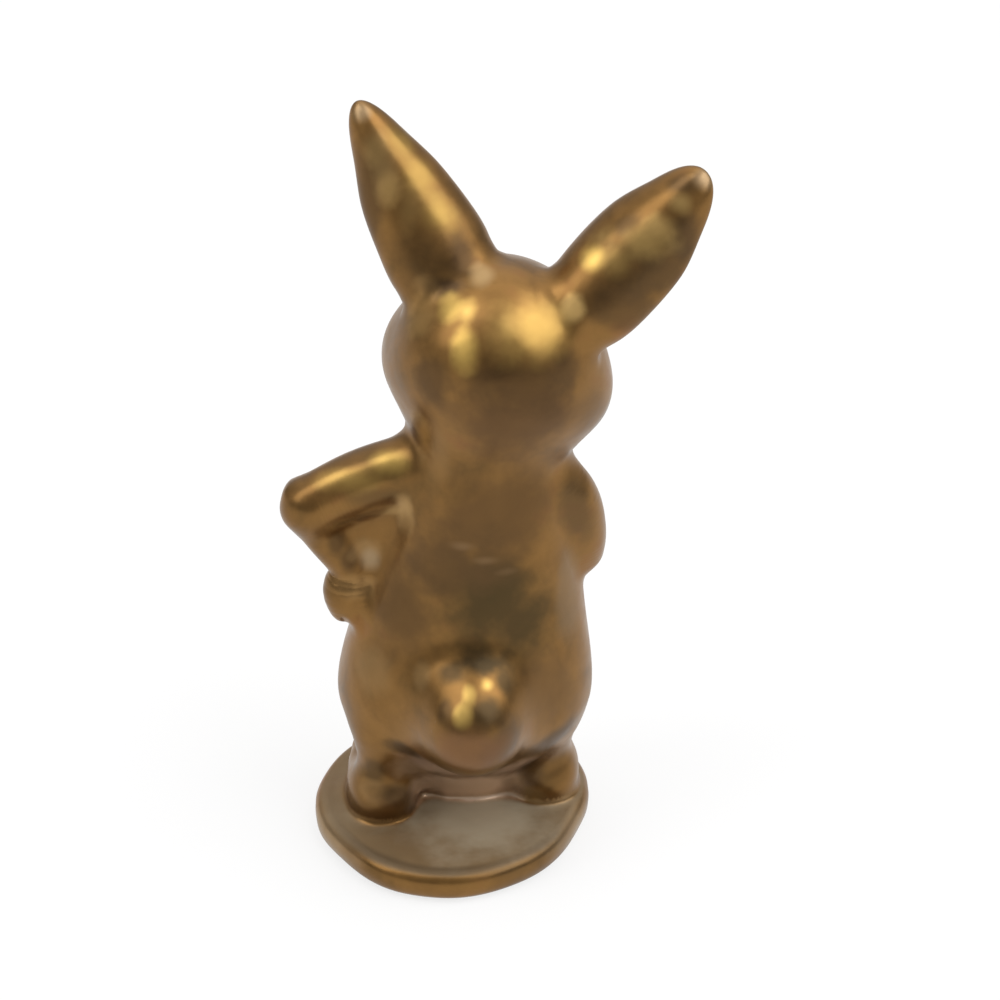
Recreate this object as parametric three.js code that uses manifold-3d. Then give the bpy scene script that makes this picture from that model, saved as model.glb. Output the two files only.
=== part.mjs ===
// A standing rabbit figurine in gilded porcelain, one hand on the hip and the other on the chest, on a slab.
// It is built as such figures are made: each piece is cast by itself, trimmed to the piece that carries it,
// and luted there with a thin film of slip. Body and head are hollow slip castings, and the rest are solid.
// Millimetres, +Z up. The rabbit faces -Y, so its left side is +X. The origin is on the underside of the base.
import * as THREE from "three";
import { mergeVertices } from "three/addons/utils/BufferGeometryUtils.js";
import Module from "manifold-3d";

const wasm = await Module();
wasm.setup();

// Driving dimensions, in millimetres and degrees

const LUTE_GAP = 0.3; // film of slip between two pieces
const WALL = 2.6; // cast wall of the hollow body and head

const BASE_HALF_WIDTH = 15.4;
const BASE_HALF_DEPTH = 15.8;
const BASE_THICKNESS = 3.6;
const BASE_EDGE_RADIUS = 1.5;
// The slab is trimmed by hand: an angle from the rabbit's left through its back, a rise and its spread.
const BASE_TRIMS = {
  leftBack: { at: 38, rise: -0.5, spread: 16 },
  back: { at: 118, rise: -0.6, spread: 20 },
  rightBack: { at: 155, rise: -0.8, spread: 26 },
  rightFront: { at: 215, rise: 0.9, spread: 30 },
};
const FIGURE_SET = -2.0; // the figure stands forward of the middle of the slab

// Levels of the body from its seat to the top of its neck. Heights are above the base, lean is towards the
// rabbit's left, set is towards its back, and girths are half the width and the reach to front and back.
const BODY_LEVELS = {
  seat: { height: 3.2, lean: -1.3, set: 0.3, halfWidth: 13.4, front: 10.4, back: 10.0 },
  thigh: { height: 9.9, lean: -1.4, set: 0.2, halfWidth: 14.3, front: 11.6, back: 11.0 },
  hip: { height: 15.9, lean: -1.6, set: 0.0, halfWidth: 14.2, front: 12.0, back: 11.0 },
  waist: { height: 25.4, lean: -2.3, set: -0.6, halfWidth: 12.4, front: 11.6, back: 9.6 },
  chest: { height: 35.4, lean: -3.6, set: -0.8, halfWidth: 10.2, front: 9.4, back: 8.6 },
  shoulder: { height: 43.4, lean: -3.8, set: -0.8, halfWidth: 9.7, front: 8.2, back: 8.6 },
  neck: { height: 54.0, lean: -3.9, set: -0.8, halfWidth: 9.4, front: 7.4, back: 9.8 },
};
const BODY_END_POWER = 4; // how blunt the body's two ends are
// A rounded block of the same casting carries the body's weight down to the base, between the legs.
const SEAT = { lean: -1.5, set: -2.0, height: 4.5 };
const SEAT_HALF_WIDTH = 6.2;
const SEAT_HALF_DEPTH = 6.0;
const SEAT_HALF_HEIGHT = 5.2;
const SEAT_POWER = 3; // how square the block is
const NECK_VENT_RADIUS = 3.0;
const DRAIN_RADIUS = 2.2;

const HEAD_SEAT = { lean: -1.3, set: -0.9, rise: 1.3 }; // its centre from the top of the neck
const HEAD_TURN = -14; // the face looks to the rabbit's right
const HEAD_TILT = -9; // and leans that way
const HEAD_NOD = 0; // up or down
const HEAD_HALF_WIDTH = 10.9;
const HEAD_HALF_DEPTH = 10.6;
const HEAD_HALF_HEIGHT = 10.9;
// Forms raised from the head: a direction from its centre, a rise and an angle of spread.
// Those off the middle plane are made on both sides.
const FACE_FORMS = {
  cheek: { at: [0.88, -0.22, -0.42], rise: 2.6, spread: 34 },
  muzzle: { at: [0, -0.93, -0.37], rise: 3.0, spread: 27 },
  whiskerPad: { at: [0.22, -0.92, -0.34], rise: 1.1, spread: 13 },
  chin: { at: [0, -0.78, -0.62], rise: 0.8, spread: 14 },
  nose: { at: [0, -0.99, -0.12], rise: 1.1, spread: 9 },
  eyeHollow: { at: [0.54, -0.82, 0.18], rise: -1.1, spread: 21 },
  eye: { at: [0.55, -0.82, 0.17], rise: 1.6, spread: 11 },
  brow: { at: [0.5, -0.72, 0.48], rise: 0.5, spread: 16 },
};
const FACE_FINENESS = 0.35; // how much closer the facets lie on the face than on the nape

const EAR_LENGTH = 20.3; // from the crown to the tip
const EAR_ROOT_DEPTH = 5; // how far the untrimmed ear runs into the head
const EAR_ROOT_BACK = -0.02; // share by which its root lies to the back of the head's centre
// How each ear stands: the share by which its root lies to the side, its splay from the head's middle plane,
// its lean to the back, the turn of its back, and how much its width grows towards the tip.
const LEFT_EAR = { way: 1, side: 0.636, splay: 41.9, leanBack: -15, turn: -36, fuller: -0.19 };
const RIGHT_EAR = { way: -1, side: 0.695, splay: 29.7, leanBack: -18, turn: -26, fuller: 0.39 };
const EAR_HALF_WIDTH = 6.0;
const EAR_EVEN = 0.35; // share of the length at which both ears are equally wide
const EAR_DOME = 2.0; // how far its edges curl forward
const EAR_HALF_THICKNESS = 1.1;
const EAR_TENON_RADIUS = 1.2;
const EAR_END_POWER = 5;
// Shares of the ear's sizes from its root to its tip
const EAR_SHAPE = [
  { width: 0.75, dome: 0.2, behind: 3.1, before: 1.6 },
  { width: 0.94, dome: 0.4, behind: 3.2, before: 1.2 },
  { width: 0.94, dome: 0.5, behind: 2.8, before: 0.6 },
  { width: 0.83, dome: 0.5, behind: 2.4, before: 0.5 },
  { width: 0.58, dome: 0.4, behind: 2.0, before: 0.6 },
  { width: 0.41, dome: 0.2, behind: 1.5, before: 0.9 },
];

// Limbs run through points near the body: a height above the base, an angle round it from the rabbit's left
// through its back, a lift off its surface, and the limb's radius there.
const LEFT_UPPER_ARM = {
  shoulder: { height: 44.2, around: 12, lift: -6.5, radius: 3.3 },
  middle: { height: 41.3, around: 8, lift: 3.4, radius: 3.5 },
  elbow: { height: 37.8, around: 10, lift: 11.7, radius: 3.0 },
};
const LEFT_FOREARM = {
  elbow: { height: 40.2, around: 8, lift: 11.6, radius: 2.6 },
  middle: { height: 34.4, around: 9, lift: 6.9, radius: 2.2 },
  wrist: { height: 29.8, around: 8, lift: 2.8, radius: 2.0 },
  palm: { height: 26.8, around: 8, lift: 1.7, radius: 2.8 },
  fingers: { height: 23.4, around: 8, lift: -0.4, radius: 2.3 },
};
const RIGHT_UPPER_ARM = {
  shoulder: { height: 43.6, around: 172, lift: -4.4, radius: 3.0 },
  upper: { height: 38.8, around: 176, lift: -0.9, radius: 3.3 },
  lower: { height: 33.4, around: 184, lift: -0.2, radius: 3.4 },
  elbow: { height: 28.0, around: 192, lift: -0.7, radius: 2.9 },
};
const RIGHT_FOREARM = {
  elbow: { height: 29.0, around: 186, lift: 0.0, radius: 2.8 },
  middle: { height: 30.9, around: 214, lift: 1.2, radius: 2.6 },
  wrist: { height: 33.2, around: 242, lift: 1.3, radius: 2.4 },
  palm: { height: 34.6, around: 259, lift: 1.1, radius: 3.0 },
  fingers: { height: 35.4, around: 273, lift: 0.4, radius: 2.5 },
};
const ARM_WEB_HALF_THICKNESS = 1.0; // the gap inside the bent left arm is closed by a recessed web
const ARM_WEB_SET = -0.7; // the web lies forward of the middle of the forearm
const LIMB_END_POWER = 8; // how blunt a limb's ends are
const TENON_DEPTH = 1.5;
const SHOULDER_TENON_RADIUS = 1.7;

const TAIL_SEAT = { height: 15.8, around: 93, lift: 0.9 };
const TAIL_TENON_RADIUS = 2.0;
const TAIL_HALF_WIDTH = 4.4;
const TAIL_HALF_DEPTH = 4.4;
const TAIL_HALF_HEIGHT = 4.8;
const TAIL_TIP = { side: -0.2, back: -1.0, up: 1.8 }; // the middle of its tip, from the middle of the bob
const TAIL_TIP_RADIUS = 3.2;

const LEG_RADIUS = 2.6;
const FOOT_HALF_WIDTH = 3.5;
const FOOT_HALF_LENGTH = 5.9;
const FOOT_HEIGHT = 4.6;
const FOOT_POWER = 2.5; // how square the foot is
const SOLE_SHARE = 0.38; // height of its widest line above the flat sole, as a share of its height
const HEEL = 0.3; // how far the heel stands behind the leg
const TOE = { side: 0.3, front: -0.94, up: 0.16, rise: 0.9, spread: 10 };
const LEFT_STANCE = { side: 8.1, set: 1.6, toeOut: 8 };
const RIGHT_STANCE = { side: -10.4, set: -2.2, toeOut: 4 };

const GILT = { color: 0xc0903f, roughness: 0.32, metalness: 0.9 };
const WORN_GILT = { color: 0xa98c5b, roughness: 0.4, metalness: 0.6 };

// Fineness of the facets: steps around and along each kind of form
const WELD = 1e-4;
const BODY_STEPS = [40, 24];
const HEAD_STEPS = [42, 30];
const EAR_STEPS = [22, 16];
const LIMB_STEPS = [16, 16];
const LEG_STEPS = [20, 10];
const FOOT_STEPS = [24, 16];
const TAIL_STEPS = [20, 14];
const SEAT_STEPS = [24, 12];
const CAVITY_STEPS = [20, 12];
const BASE_STEPS = 56;
const EDGE_STEPS = 4;
const ROD_STEPS = 20;
const HALVINGS = 40;

const radians = THREE.MathUtils.degToRad;
const vector = (x, y, z) => new THREE.Vector3(x, y, z);

// Solids

// A closed three.js geometry as a solid that can be joined and cut.
function solidOf(geometry) {
  const bare = new THREE.BufferGeometry().setAttribute("position", geometry.getAttribute("position"));
  bare.setIndex(geometry.index);
  const welded = mergeVertices(bare, WELD);
  const triVerts = [];
  for (let i = 0; i < welded.index.count; i += 3) {
    const [a, b, c] = [0, 1, 2].map((k) => welded.index.getX(i + k));
    if (a !== b && b !== c && c !== a) triVerts.push(a, b, c);
  }
  const vertProperties = welded.getAttribute("position").array;
  return new wasm.Manifold(
    new wasm.Mesh({ numProp: 3, vertProperties, triVerts: new Uint32Array(triVerts) }),
  );
}

// A named mesh of a solid, in the given finish.
function piece(name, solid, finish) {
  const { vertProperties, triVerts } = solid.getMesh();
  const geometry = new THREE.BufferGeometry();
  geometry.setAttribute("position", new THREE.BufferAttribute(vertProperties, 3));
  geometry.setIndex(new THREE.BufferAttribute(triVerts, 1));
  geometry.computeVertexNormals();
  const mesh = new THREE.Mesh(geometry, new THREE.MeshStandardMaterial(finish));
  mesh.name = name;
  return mesh;
}

// A ball whose every point is moved to shape(turn, fall): turn runs round it, fall from its top to its foot.
function sculpt(shape, [around, along]) {
  const geometry = new THREE.SphereGeometry(1, around, along);
  const position = geometry.getAttribute("position");
  const uv = geometry.getAttribute("uv");
  for (let i = 0; i < position.count; i++) {
    const turn = 2 * Math.PI * uv.getX(i);
    const fall = Math.PI * (1 - uv.getY(i));
    const point = shape(turn, fall);
    position.setXYZ(i, point.x, point.y, point.z);
  }
  return geometry;
}

// The direction from a form's centre at a turn and fall.
function bearing(turn, fall) {
  return vector(Math.cos(turn) * Math.sin(fall), Math.sin(turn) * Math.sin(fall), Math.cos(fall));
}

// Rounds a form off at its two ends: 1 along its length, falling to 0 at each end.
function endTaper(fall, power) {
  return Math.sqrt(Math.max(0, 1 - Math.abs(Math.cos(fall)) ** power));
}

// The height of a raised form at a bearing.
function raised({ at, rise, spread }, direction) {
  const off = direction.angleTo(vector(...at)) / radians(spread);
  return rise * Math.exp(-off * off);
}

// Reach of a rounded block with these half sizes at a bearing. A power of 2 is an ellipsoid.
function blockReach(direction, halfSizes, power) {
  const share = ["x", "y", "z"].reduce(
    (sum, axis) => sum + Math.abs(direction[axis] / halfSizes[axis]) ** power,
    0,
  );
  return share ** (-1 / power);
}

// A round rod between two points.
function rod(from, to, radius) {
  const along = to.clone().sub(from);
  const geometry = new THREE.CylinderGeometry(radius, radius, along.length(), ROD_STEPS);
  const turn = new THREE.Quaternion().setFromUnitVectors(vector(0, 1, 0), along.normalize());
  geometry.applyQuaternion(turn);
  const middle = from.clone().add(to).multiplyScalar(0.5);
  geometry.translate(middle.x, middle.y, middle.z);
  return solidOf(geometry);
}

// A smooth value through points, by share of the way.
function through(points) {
  return new THREE.CatmullRomCurve3(points, false, "catmullrom", 0.5);
}

// Base

// Reach of the trimmed slab at a turn, as a share of its oval.
function trimShare(turn) {
  const reach = Math.hypot(BASE_HALF_WIDTH * Math.cos(turn), BASE_HALF_DEPTH * Math.sin(turn));
  const trims = Object.values(BASE_TRIMS).reduce((sum, { at, rise, spread }) => {
    const off = Math.atan2(Math.sin(turn - radians(at)), Math.cos(turn - radians(at))) / radians(spread);
    return sum + rise * Math.exp(-off * off);
  }, 0);
  return 1 + trims / reach;
}

// A slab with a flat foot and top and a rounded edge, turned and then pulled to the trimmed oval.
function baseSlab() {
  const inset = 1 - BASE_EDGE_RADIUS / BASE_HALF_WIDTH;
  const edge = (from, to, level) =>
    Array.from({ length: EDGE_STEPS + 1 }, (_, i) => {
      const angle = radians(from + ((to - from) * i) / EDGE_STEPS);
      const out = inset + (1 - inset) * Math.cos(angle);
      return new THREE.Vector2(out, level + BASE_EDGE_RADIUS * Math.sin(angle));
    });
  const profile = [
    new THREE.Vector2(0, 0),
    ...edge(-90, 0, BASE_EDGE_RADIUS),
    ...edge(0, 90, BASE_THICKNESS - BASE_EDGE_RADIUS),
    new THREE.Vector2(0, BASE_THICKNESS),
  ];
  const geometry = new THREE.LatheGeometry(profile, BASE_STEPS);
  const position = geometry.getAttribute("position");
  for (let i = 0; i < position.count; i++) {
    const [x, z, y] = [position.getX(i), position.getY(i), -position.getZ(i)];
    const share = trimShare(Math.atan2(y, x));
    position.setXYZ(i, x * share * BASE_HALF_WIDTH, y * share * BASE_HALF_DEPTH, z);
  }
  return solidOf(geometry);
}

// Body: oval rings along a leaning spine, and the block that it sits on

const levels = Object.values(BODY_LEVELS);
const bodySpine = through(levels.map(({ lean, set, height }) => vector(lean, set, height)));
const bodyGirth = through(levels.map(({ halfWidth, front, back }) => vector(halfWidth, front, back)));
const bodyTop = levels.at(-1);

// A point of the body's surface, grown outwards by a margin.
function bodyPoint(turn, fall, grown) {
  const share = (1 + Math.cos(fall)) / 2;
  const centre = bodySpine.getPoint(share);
  const girth = bodyGirth.getPoint(share);
  const taper = endTaper(fall, BODY_END_POWER);
  const depth = Math.sin(turn) < 0 ? girth.y : girth.z;
  return vector(
    centre.x + (girth.x + grown) * taper * Math.cos(turn),
    centre.y + (depth + grown) * taper * Math.sin(turn),
    centre.z + grown * Math.cos(fall),
  );
}

const bodyRings = (grown, steps) => solidOf(sculpt((turn, fall) => bodyPoint(turn, fall, grown), steps));

// The block under the body, grown by a margin, with a flat foot just above the base.
function seatBlock(grown) {
  const halfSizes = vector(SEAT_HALF_WIDTH, SEAT_HALF_DEPTH, SEAT_HALF_HEIGHT).addScalar(grown);
  const form = sculpt((turn, fall) => {
    const direction = bearing(turn, fall);
    const point = direction.clone().multiplyScalar(blockReach(direction, halfSizes, SEAT_POWER));
    const height = Math.max(LUTE_GAP - grown, SEAT.height + point.z);
    return vector(SEAT.lean + point.x, SEAT.set + point.y, height);
  }, SEAT_STEPS);
  return solidOf(form);
}

// The body's outer form, grown by a margin. A piece trimmed by the grown form fits it with that gap.
const bodyForm = (grown) => bodyRings(grown, BODY_STEPS).add(seatBlock(grown));

// How far down the body a height above the base lies, as a fall from its top.
function fallAt(height) {
  let [above, below] = [0, Math.PI];
  for (let i = 0; i < HALVINGS; i++) {
    const middle = (above + below) / 2;
    if (bodySpine.getPoint((1 + Math.cos(middle)) / 2).z > height) above = middle;
    else below = middle;
  }
  return above;
}

// A point near the body: at a height, an angle round it and a lift off its surface.
function nearBody({ height, around, lift }) {
  const turn = radians(around);
  const point = bodyPoint(turn, fallAt(height), 0);
  return point.add(vector(Math.cos(turn), Math.sin(turn), 0).multiplyScalar(lift));
}

// The body cast hollow, with a vent through the top of its neck and a drain through its seat.
function hollowBody() {
  const reach = vector(0, 0, 2 * WALL);
  const pierce = (end, radius) => rod(end.clone().sub(reach), end.clone().add(reach), radius);
  return bodyForm(0)
    .subtract(bodyRings(-WALL, CAVITY_STEPS))
    .subtract(pierce(bodySpine.getPoint(1), NECK_VENT_RADIUS))
    .subtract(pierce(bodySpine.getPoint(0), DRAIN_RADIUS));
}

// Limbs: round sections along a smooth route

// A limb through points near the body, its sections set square to the direction across it.
function limb(route, across) {
  const stations = Object.values(route);
  const spine = through(stations.map(nearBody));
  const size = through(stations.map(({ radius }) => vector(radius, 0, 0)));
  const shape = (turn, fall) => {
    const share = (1 - Math.cos(fall)) / 2;
    const ahead = spine.getTangent(share);
    const side = across.clone().cross(ahead).normalize();
    const over = side.clone().cross(ahead);
    const radius = size.getPoint(share).x * endTaper(fall, LIMB_END_POWER);
    return spine
      .getPoint(share)
      .addScaledVector(side, radius * Math.cos(turn))
      .addScaledVector(over, radius * Math.sin(turn));
  };
  return solidOf(sculpt(shape, LIMB_STEPS));
}

// A peg that runs from a piece into the one that carries it, and the hole that takes it.
function tenon(root, ahead, radius) {
  const foot = root.clone().addScaledVector(ahead, -TENON_DEPTH);
  const top = root.clone().addScaledVector(ahead, TENON_DEPTH);
  const below = foot.clone().addScaledVector(ahead, -LUTE_GAP);
  return { peg: rod(foot, top, radius), hole: rod(below, top, radius + LUTE_GAP) };
}

// The peg of an upper arm, where its route comes out of the body.
function shoulderTenon(route) {
  const [inside, outside] = Object.values(route);
  const [from, to] = [nearBody(inside), nearBody(outside)];
  const share = inside.lift / (inside.lift - outside.lift);
  const ahead = to.clone().sub(from);
  return tenon(from.addScaledVector(ahead, share), ahead.clone().normalize(), SHOULDER_TENON_RADIUS);
}

// The web inside the bent left arm: a plate between the middles of the upper arm, the forearm and the body.
function armWeb() {
  const { shoulder, middle: upper } = LEFT_UPPER_ARM;
  const { elbow, middle, wrist } = LEFT_FOREARM;
  const inner = { ...wrist, lift: shoulder.lift };
  const corners = [shoulder, upper, elbow, middle, wrist, inner].map(nearBody);
  const outline = new THREE.Shape(corners.map(({ x, z }) => new THREE.Vector2(x, z)));
  const depth = 2 * ARM_WEB_HALF_THICKNESS;
  const plate = new THREE.ExtrudeGeometry(outline, { depth, bevelEnabled: false });
  plate.rotateX(Math.PI / 2);
  plate.translate(0, nearBody(middle).y + ARM_WEB_SET + ARM_WEB_HALF_THICKNESS, 0);
  return solidOf(plate);
}

// Legs with their feet

// A long foot with a flat sole and three toes, and the short leg that rises from its heel into the body.
function legWithFoot({ side, set, toeOut }) {
  const halfSizes = vector(FOOT_HALF_WIDTH, FOOT_HALF_LENGTH, FOOT_HEIGHT * (1 - SOLE_SHARE));
  const middle = LUTE_GAP + FOOT_HEIGHT * SOLE_SHARE;
  const toes = [-1, 0, 1].map((way) => ({ ...TOE, at: [way * TOE.side, TOE.front, TOE.up] }));
  const foot = sculpt((turn, fall) => {
    const direction = bearing(turn, fall);
    const toeRise = toes.reduce((sum, toe) => sum + raised(toe, direction), 0);
    const reach = blockReach(direction, halfSizes, FOOT_POWER) + toeRise;
    const point = direction.clone().multiplyScalar(reach);
    return vector(point.x, point.y, Math.max(LUTE_GAP, middle + point.z));
  }, FOOT_STEPS);
  const heel = FOOT_HALF_LENGTH - LEG_RADIUS - HEEL;
  const top = BODY_LEVELS.thigh.height;
  const leg = sculpt((turn, fall) => {
    const radius = LEG_RADIUS * endTaper(fall, LIMB_END_POWER);
    const height = middle + ((top - middle) * (1 + Math.cos(fall))) / 2;
    return vector(radius * Math.cos(turn), heel + radius * Math.sin(turn), height);
  }, LEG_STEPS);
  for (const form of [foot, leg]) {
    form.rotateZ(radians(toeOut));
    form.translate(side, set, 0);
  }
  return solidOf(foot).add(solidOf(leg));
}

// Tail: a bob drawn up to a round tip that lies against the body's back

function tailBob() {
  const halfSizes = vector(TAIL_HALF_WIDTH, TAIL_HALF_DEPTH, TAIL_HALF_HEIGHT);
  const bob = sculpt((turn, fall) => {
    const direction = bearing(turn, fall);
    return direction.clone().multiplyScalar(blockReach(direction, halfSizes, 2));
  }, TAIL_STEPS);
  const tip = new THREE.SphereGeometry(TAIL_TIP_RADIUS, ...TAIL_STEPS);
  tip.translate(TAIL_TIP.side, TAIL_TIP.back, TAIL_TIP.up);
  const centre = nearBody(TAIL_SEAT);
  return wasm.Manifold.hull([solidOf(bob), solidOf(tip)]).translate(centre.toArray());
}

// The peg of the tail, level and straight out from the body's back.
function tailTenon() {
  const turn = radians(TAIL_SEAT.around);
  const ahead = vector(Math.cos(turn), Math.sin(turn), 0);
  return tenon(nearBody({ ...TAIL_SEAT, lift: 0 }), ahead, TAIL_TENON_RADIUS);
}

// Head and ears, in the head's own frame

const headHalfSizes = vector(HEAD_HALF_WIDTH, HEAD_HALF_DEPTH, HEAD_HALF_HEIGHT);
const faceForms = Object.values(FACE_FORMS).flatMap((form) => {
  const [x, y, z] = form.at;
  return x === 0 ? [form] : [form, { ...form, at: [-x, y, z] }];
});

// Reach of the head from its centre at a bearing.
function headReach(direction) {
  const plain = blockReach(direction, headHalfSizes, 2);
  return faceForms.reduce((sum, form) => sum + raised(form, direction), plain);
}

// The head's outer form, grown by a margin.
function headForm(grown) {
  return sculpt((turn, fall) => {
    const direction = bearing(turn - FACE_FINENESS * Math.cos(turn), fall);
    return direction.clone().multiplyScalar(headReach(direction) + grown);
  }, HEAD_STEPS);
}

function headCavity() {
  const halfSizes = headHalfSizes.clone().subScalar(WALL);
  return sculpt((turn, fall) => {
    const direction = bearing(turn, fall);
    return direction.clone().multiplyScalar(blockReach(direction, halfSizes, 2));
  }, CAVITY_STEPS);
}

// Where an ear leaves the head, and the way that it points.
function earSeat({ way, side, splay, leanBack }) {
  const direction = vector(way * side, EAR_ROOT_BACK, Math.sqrt(1 - side * side)).normalize();
  const ahead = vector(way * Math.tan(radians(splay)), Math.tan(radians(leanBack)), 1).normalize();
  return { root: direction.clone().multiplyScalar(headReach(direction)), ahead };
}

// A leaf shaped ear: domed behind, hollowed in front, and thick enough at the root to carry its peg.
function ear(stance) {
  const { root, ahead } = earSeat(stance);
  const widths = through(EAR_SHAPE.map(({ width }) => vector(width * EAR_HALF_WIDTH, 0, 0)));
  const depths = through(EAR_SHAPE.map(({ dome, behind, before }) => vector(dome, behind, before)));
  const turned = radians(stance.turn);
  const out = vector(stance.way * Math.sin(turned), Math.cos(turned), 0);
  const across = ahead.clone().cross(out).normalize();
  const back = across.clone().cross(ahead);
  const shape = (turn, fall) => {
    const share = (1 - Math.cos(fall)) / 2;
    const taper = endTaper(fall, EAR_END_POWER);
    const [c, s] = [Math.cos(turn), Math.sin(turn)];
    const halfWidth = widths.getPoint(share).x * (1 + stance.fuller * (share - EAR_EVEN));
    const { x: dome, y: behind, z: before } = depths.getPoint(share);
    const thickness = (s > 0 ? behind : before) * EAR_HALF_THICKNESS;
    return root
      .clone()
      .addScaledVector(ahead, share * (EAR_LENGTH + EAR_ROOT_DEPTH) - EAR_ROOT_DEPTH)
      .addScaledVector(across, halfWidth * taper * c)
      .addScaledVector(back, taper * (thickness * s - dome * EAR_DOME * c * c));
  };
  return solidOf(sculpt(shape, EAR_STEPS));
}

function earTenon(stance) {
  const { root, ahead } = earSeat(stance);
  return tenon(root, ahead, EAR_TENON_RADIUS);
}

// Assembly: the figure stands on the base, and the head with its ears sits on the neck

const part = new THREE.Group();
part.name = "rabbit_figurine";
part.add(piece("base", baseSlab(), WORN_GILT));

const figure = new THREE.Group();
figure.name = "figure";
figure.position.set(0, FIGURE_SET, BASE_THICKNESS);
part.add(figure);

const headGroup = new THREE.Group();
headGroup.name = "head_with_ears";
headGroup.position.set(
  bodyTop.lean + HEAD_SEAT.lean,
  bodyTop.set + HEAD_SEAT.set,
  bodyTop.height + HEAD_SEAT.rise,
);
headGroup.rotation.set(radians(HEAD_NOD), radians(HEAD_TILT), radians(HEAD_TURN), "ZYX");
headGroup.updateMatrix();
figure.add(headGroup);

const bodyTrim = bodyForm(LUTE_GAP);
const leftShoulder = shoulderTenon(LEFT_UPPER_ARM);
const rightShoulder = shoulderTenon(RIGHT_UPPER_ARM);
const tailPeg = tailTenon();
const sideways = vector(0, 1, 0);
const upwards = vector(0, 0, 1);

const body = [leftShoulder, rightShoulder, tailPeg].reduce(
  (solid, { hole }) => solid.subtract(hole),
  hollowBody(),
);
const leftArm = limb(LEFT_UPPER_ARM, sideways)
  .add(limb(LEFT_FOREARM, sideways))
  .add(armWeb())
  .subtract(bodyTrim)
  .add(leftShoulder.peg);
const rightArm = limb(RIGHT_UPPER_ARM, sideways)
  .add(limb(RIGHT_FOREARM, upwards))
  .subtract(bodyTrim)
  .add(rightShoulder.peg);
const tail = tailBob().subtract(bodyTrim).add(tailPeg.peg);
const leftLeg = legWithFoot(LEFT_STANCE).subtract(bodyTrim);
const rightLeg = legWithFoot(RIGHT_STANCE).subtract(bodyTrim);

figure.add(
  piece("body", body, GILT),
  piece("left_leg", leftLeg, GILT),
  piece("right_leg", rightLeg, GILT),
  piece("tail", tail, GILT),
  piece("left_arm", leftArm, GILT),
  piece("right_arm", rightArm, GILT),
);

const headTrim = solidOf(headForm(LUTE_GAP));
const neckTrim = bodyTrim.transform(headGroup.matrix.clone().invert().toArray());
const [leftEarPeg, rightEarPeg] = [LEFT_EAR, RIGHT_EAR].map(earTenon);
const head = solidOf(headForm(0))
  .subtract(solidOf(headCavity()))
  .subtract(neckTrim)
  .subtract(leftEarPeg.hole)
  .subtract(rightEarPeg.hole);

headGroup.add(
  piece("head", head, GILT),
  piece("left_ear", ear(LEFT_EAR).subtract(headTrim).add(leftEarPeg.peg), GILT),
  piece("right_ear", ear(RIGHT_EAR).subtract(headTrim).add(rightEarPeg.peg), GILT),
);

export default part;
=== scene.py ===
# %% [markdown]
# # A gilded porcelain rabbit
#
# The real object is a small standing rabbit of slip-cast porcelain. Its castings were luted together with
# wet slip, the joins were wiped smooth with a brush, and after firing the figure was coated in gold lustre.
# Such a form could be sculpted by hand, or melted together with a remesh. Here each casting is a numpy
# surface of its own, and one distance field tells all of them where the wiped joins run. So the pieces stay
# separate, as the CAD model has them, and still meet without a visible seam.

import bpy
import numpy as np
from mathutils import Matrix


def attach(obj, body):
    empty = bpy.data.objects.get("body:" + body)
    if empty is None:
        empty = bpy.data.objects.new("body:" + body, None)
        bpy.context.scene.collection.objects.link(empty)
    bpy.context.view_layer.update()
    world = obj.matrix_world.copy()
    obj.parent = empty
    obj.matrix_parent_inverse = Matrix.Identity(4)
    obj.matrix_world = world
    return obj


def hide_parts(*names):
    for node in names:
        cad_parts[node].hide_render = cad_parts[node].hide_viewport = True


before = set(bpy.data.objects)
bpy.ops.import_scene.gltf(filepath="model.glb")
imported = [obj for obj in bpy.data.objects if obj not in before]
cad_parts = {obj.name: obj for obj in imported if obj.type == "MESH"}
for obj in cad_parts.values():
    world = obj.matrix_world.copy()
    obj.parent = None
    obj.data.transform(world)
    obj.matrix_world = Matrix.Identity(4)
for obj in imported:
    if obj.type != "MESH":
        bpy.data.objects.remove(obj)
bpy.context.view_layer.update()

# %% [markdown]
# ## Curves and directions
#
# The forms are described in millimetres, as a maker would measure them, in a frame that stands on top of the
# slab: +Z up, +X to the rabbit's left and +Y to its back. A few numbers along a limb are enough if a smooth
# curve runs through them. Blender's own curve objects could do that too, but here whole arrays of points are
# asked for at once.

# %% Small tools
MM = 0.001
FIGURE_FOOT = np.array([0.0, -2.0, 3.6])  # where the figure stands in the model's frame
TINY = 1e-9  # stands in for 0 in a divisor
ON_AXIS = 1e-3  # a share of a ring below this counts as its middle


def unit(v):
    """Each vector divided by its length."""
    return v / np.maximum(np.linalg.norm(v, axis=-1, keepdims=True), TINY)


def smooth_through(rows):
    """Catmull-Rom curve: a cubic between two rows, its slopes half the step between their neighbours."""
    rows = np.asarray(rows, float)
    padded = np.vstack([2 * rows[:1] - rows[1:2], rows, 2 * rows[-1:] - rows[-2:-1]])
    spans = len(rows) - 1

    def at(share):
        along = np.clip(np.asarray(share, float), 0, 1) * spans
        first = np.minimum(along.astype(int), spans - 1)
        u = (along - first)[..., None]
        a, b, c, d = (padded[first + i] for i in range(4))
        return b + u / 2 * (c - a + u * (2 * a - 5 * b + 4 * c - d + u * (3 * (b - c) + d - a)))

    return at


def end_taper(fall, power):
    """Rounds a form off at both ends: the root of 1 minus |cos fall| to a power."""
    return np.sqrt(np.maximum(0, 1 - np.abs(np.cos(fall)) ** power))


def bearing(turn, fall):
    """The direction at a turn round the upright axis and a fall from its top."""
    return np.stack([np.cos(turn) * np.sin(fall), np.sin(turn) * np.sin(fall), np.cos(fall)], -1)


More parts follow.
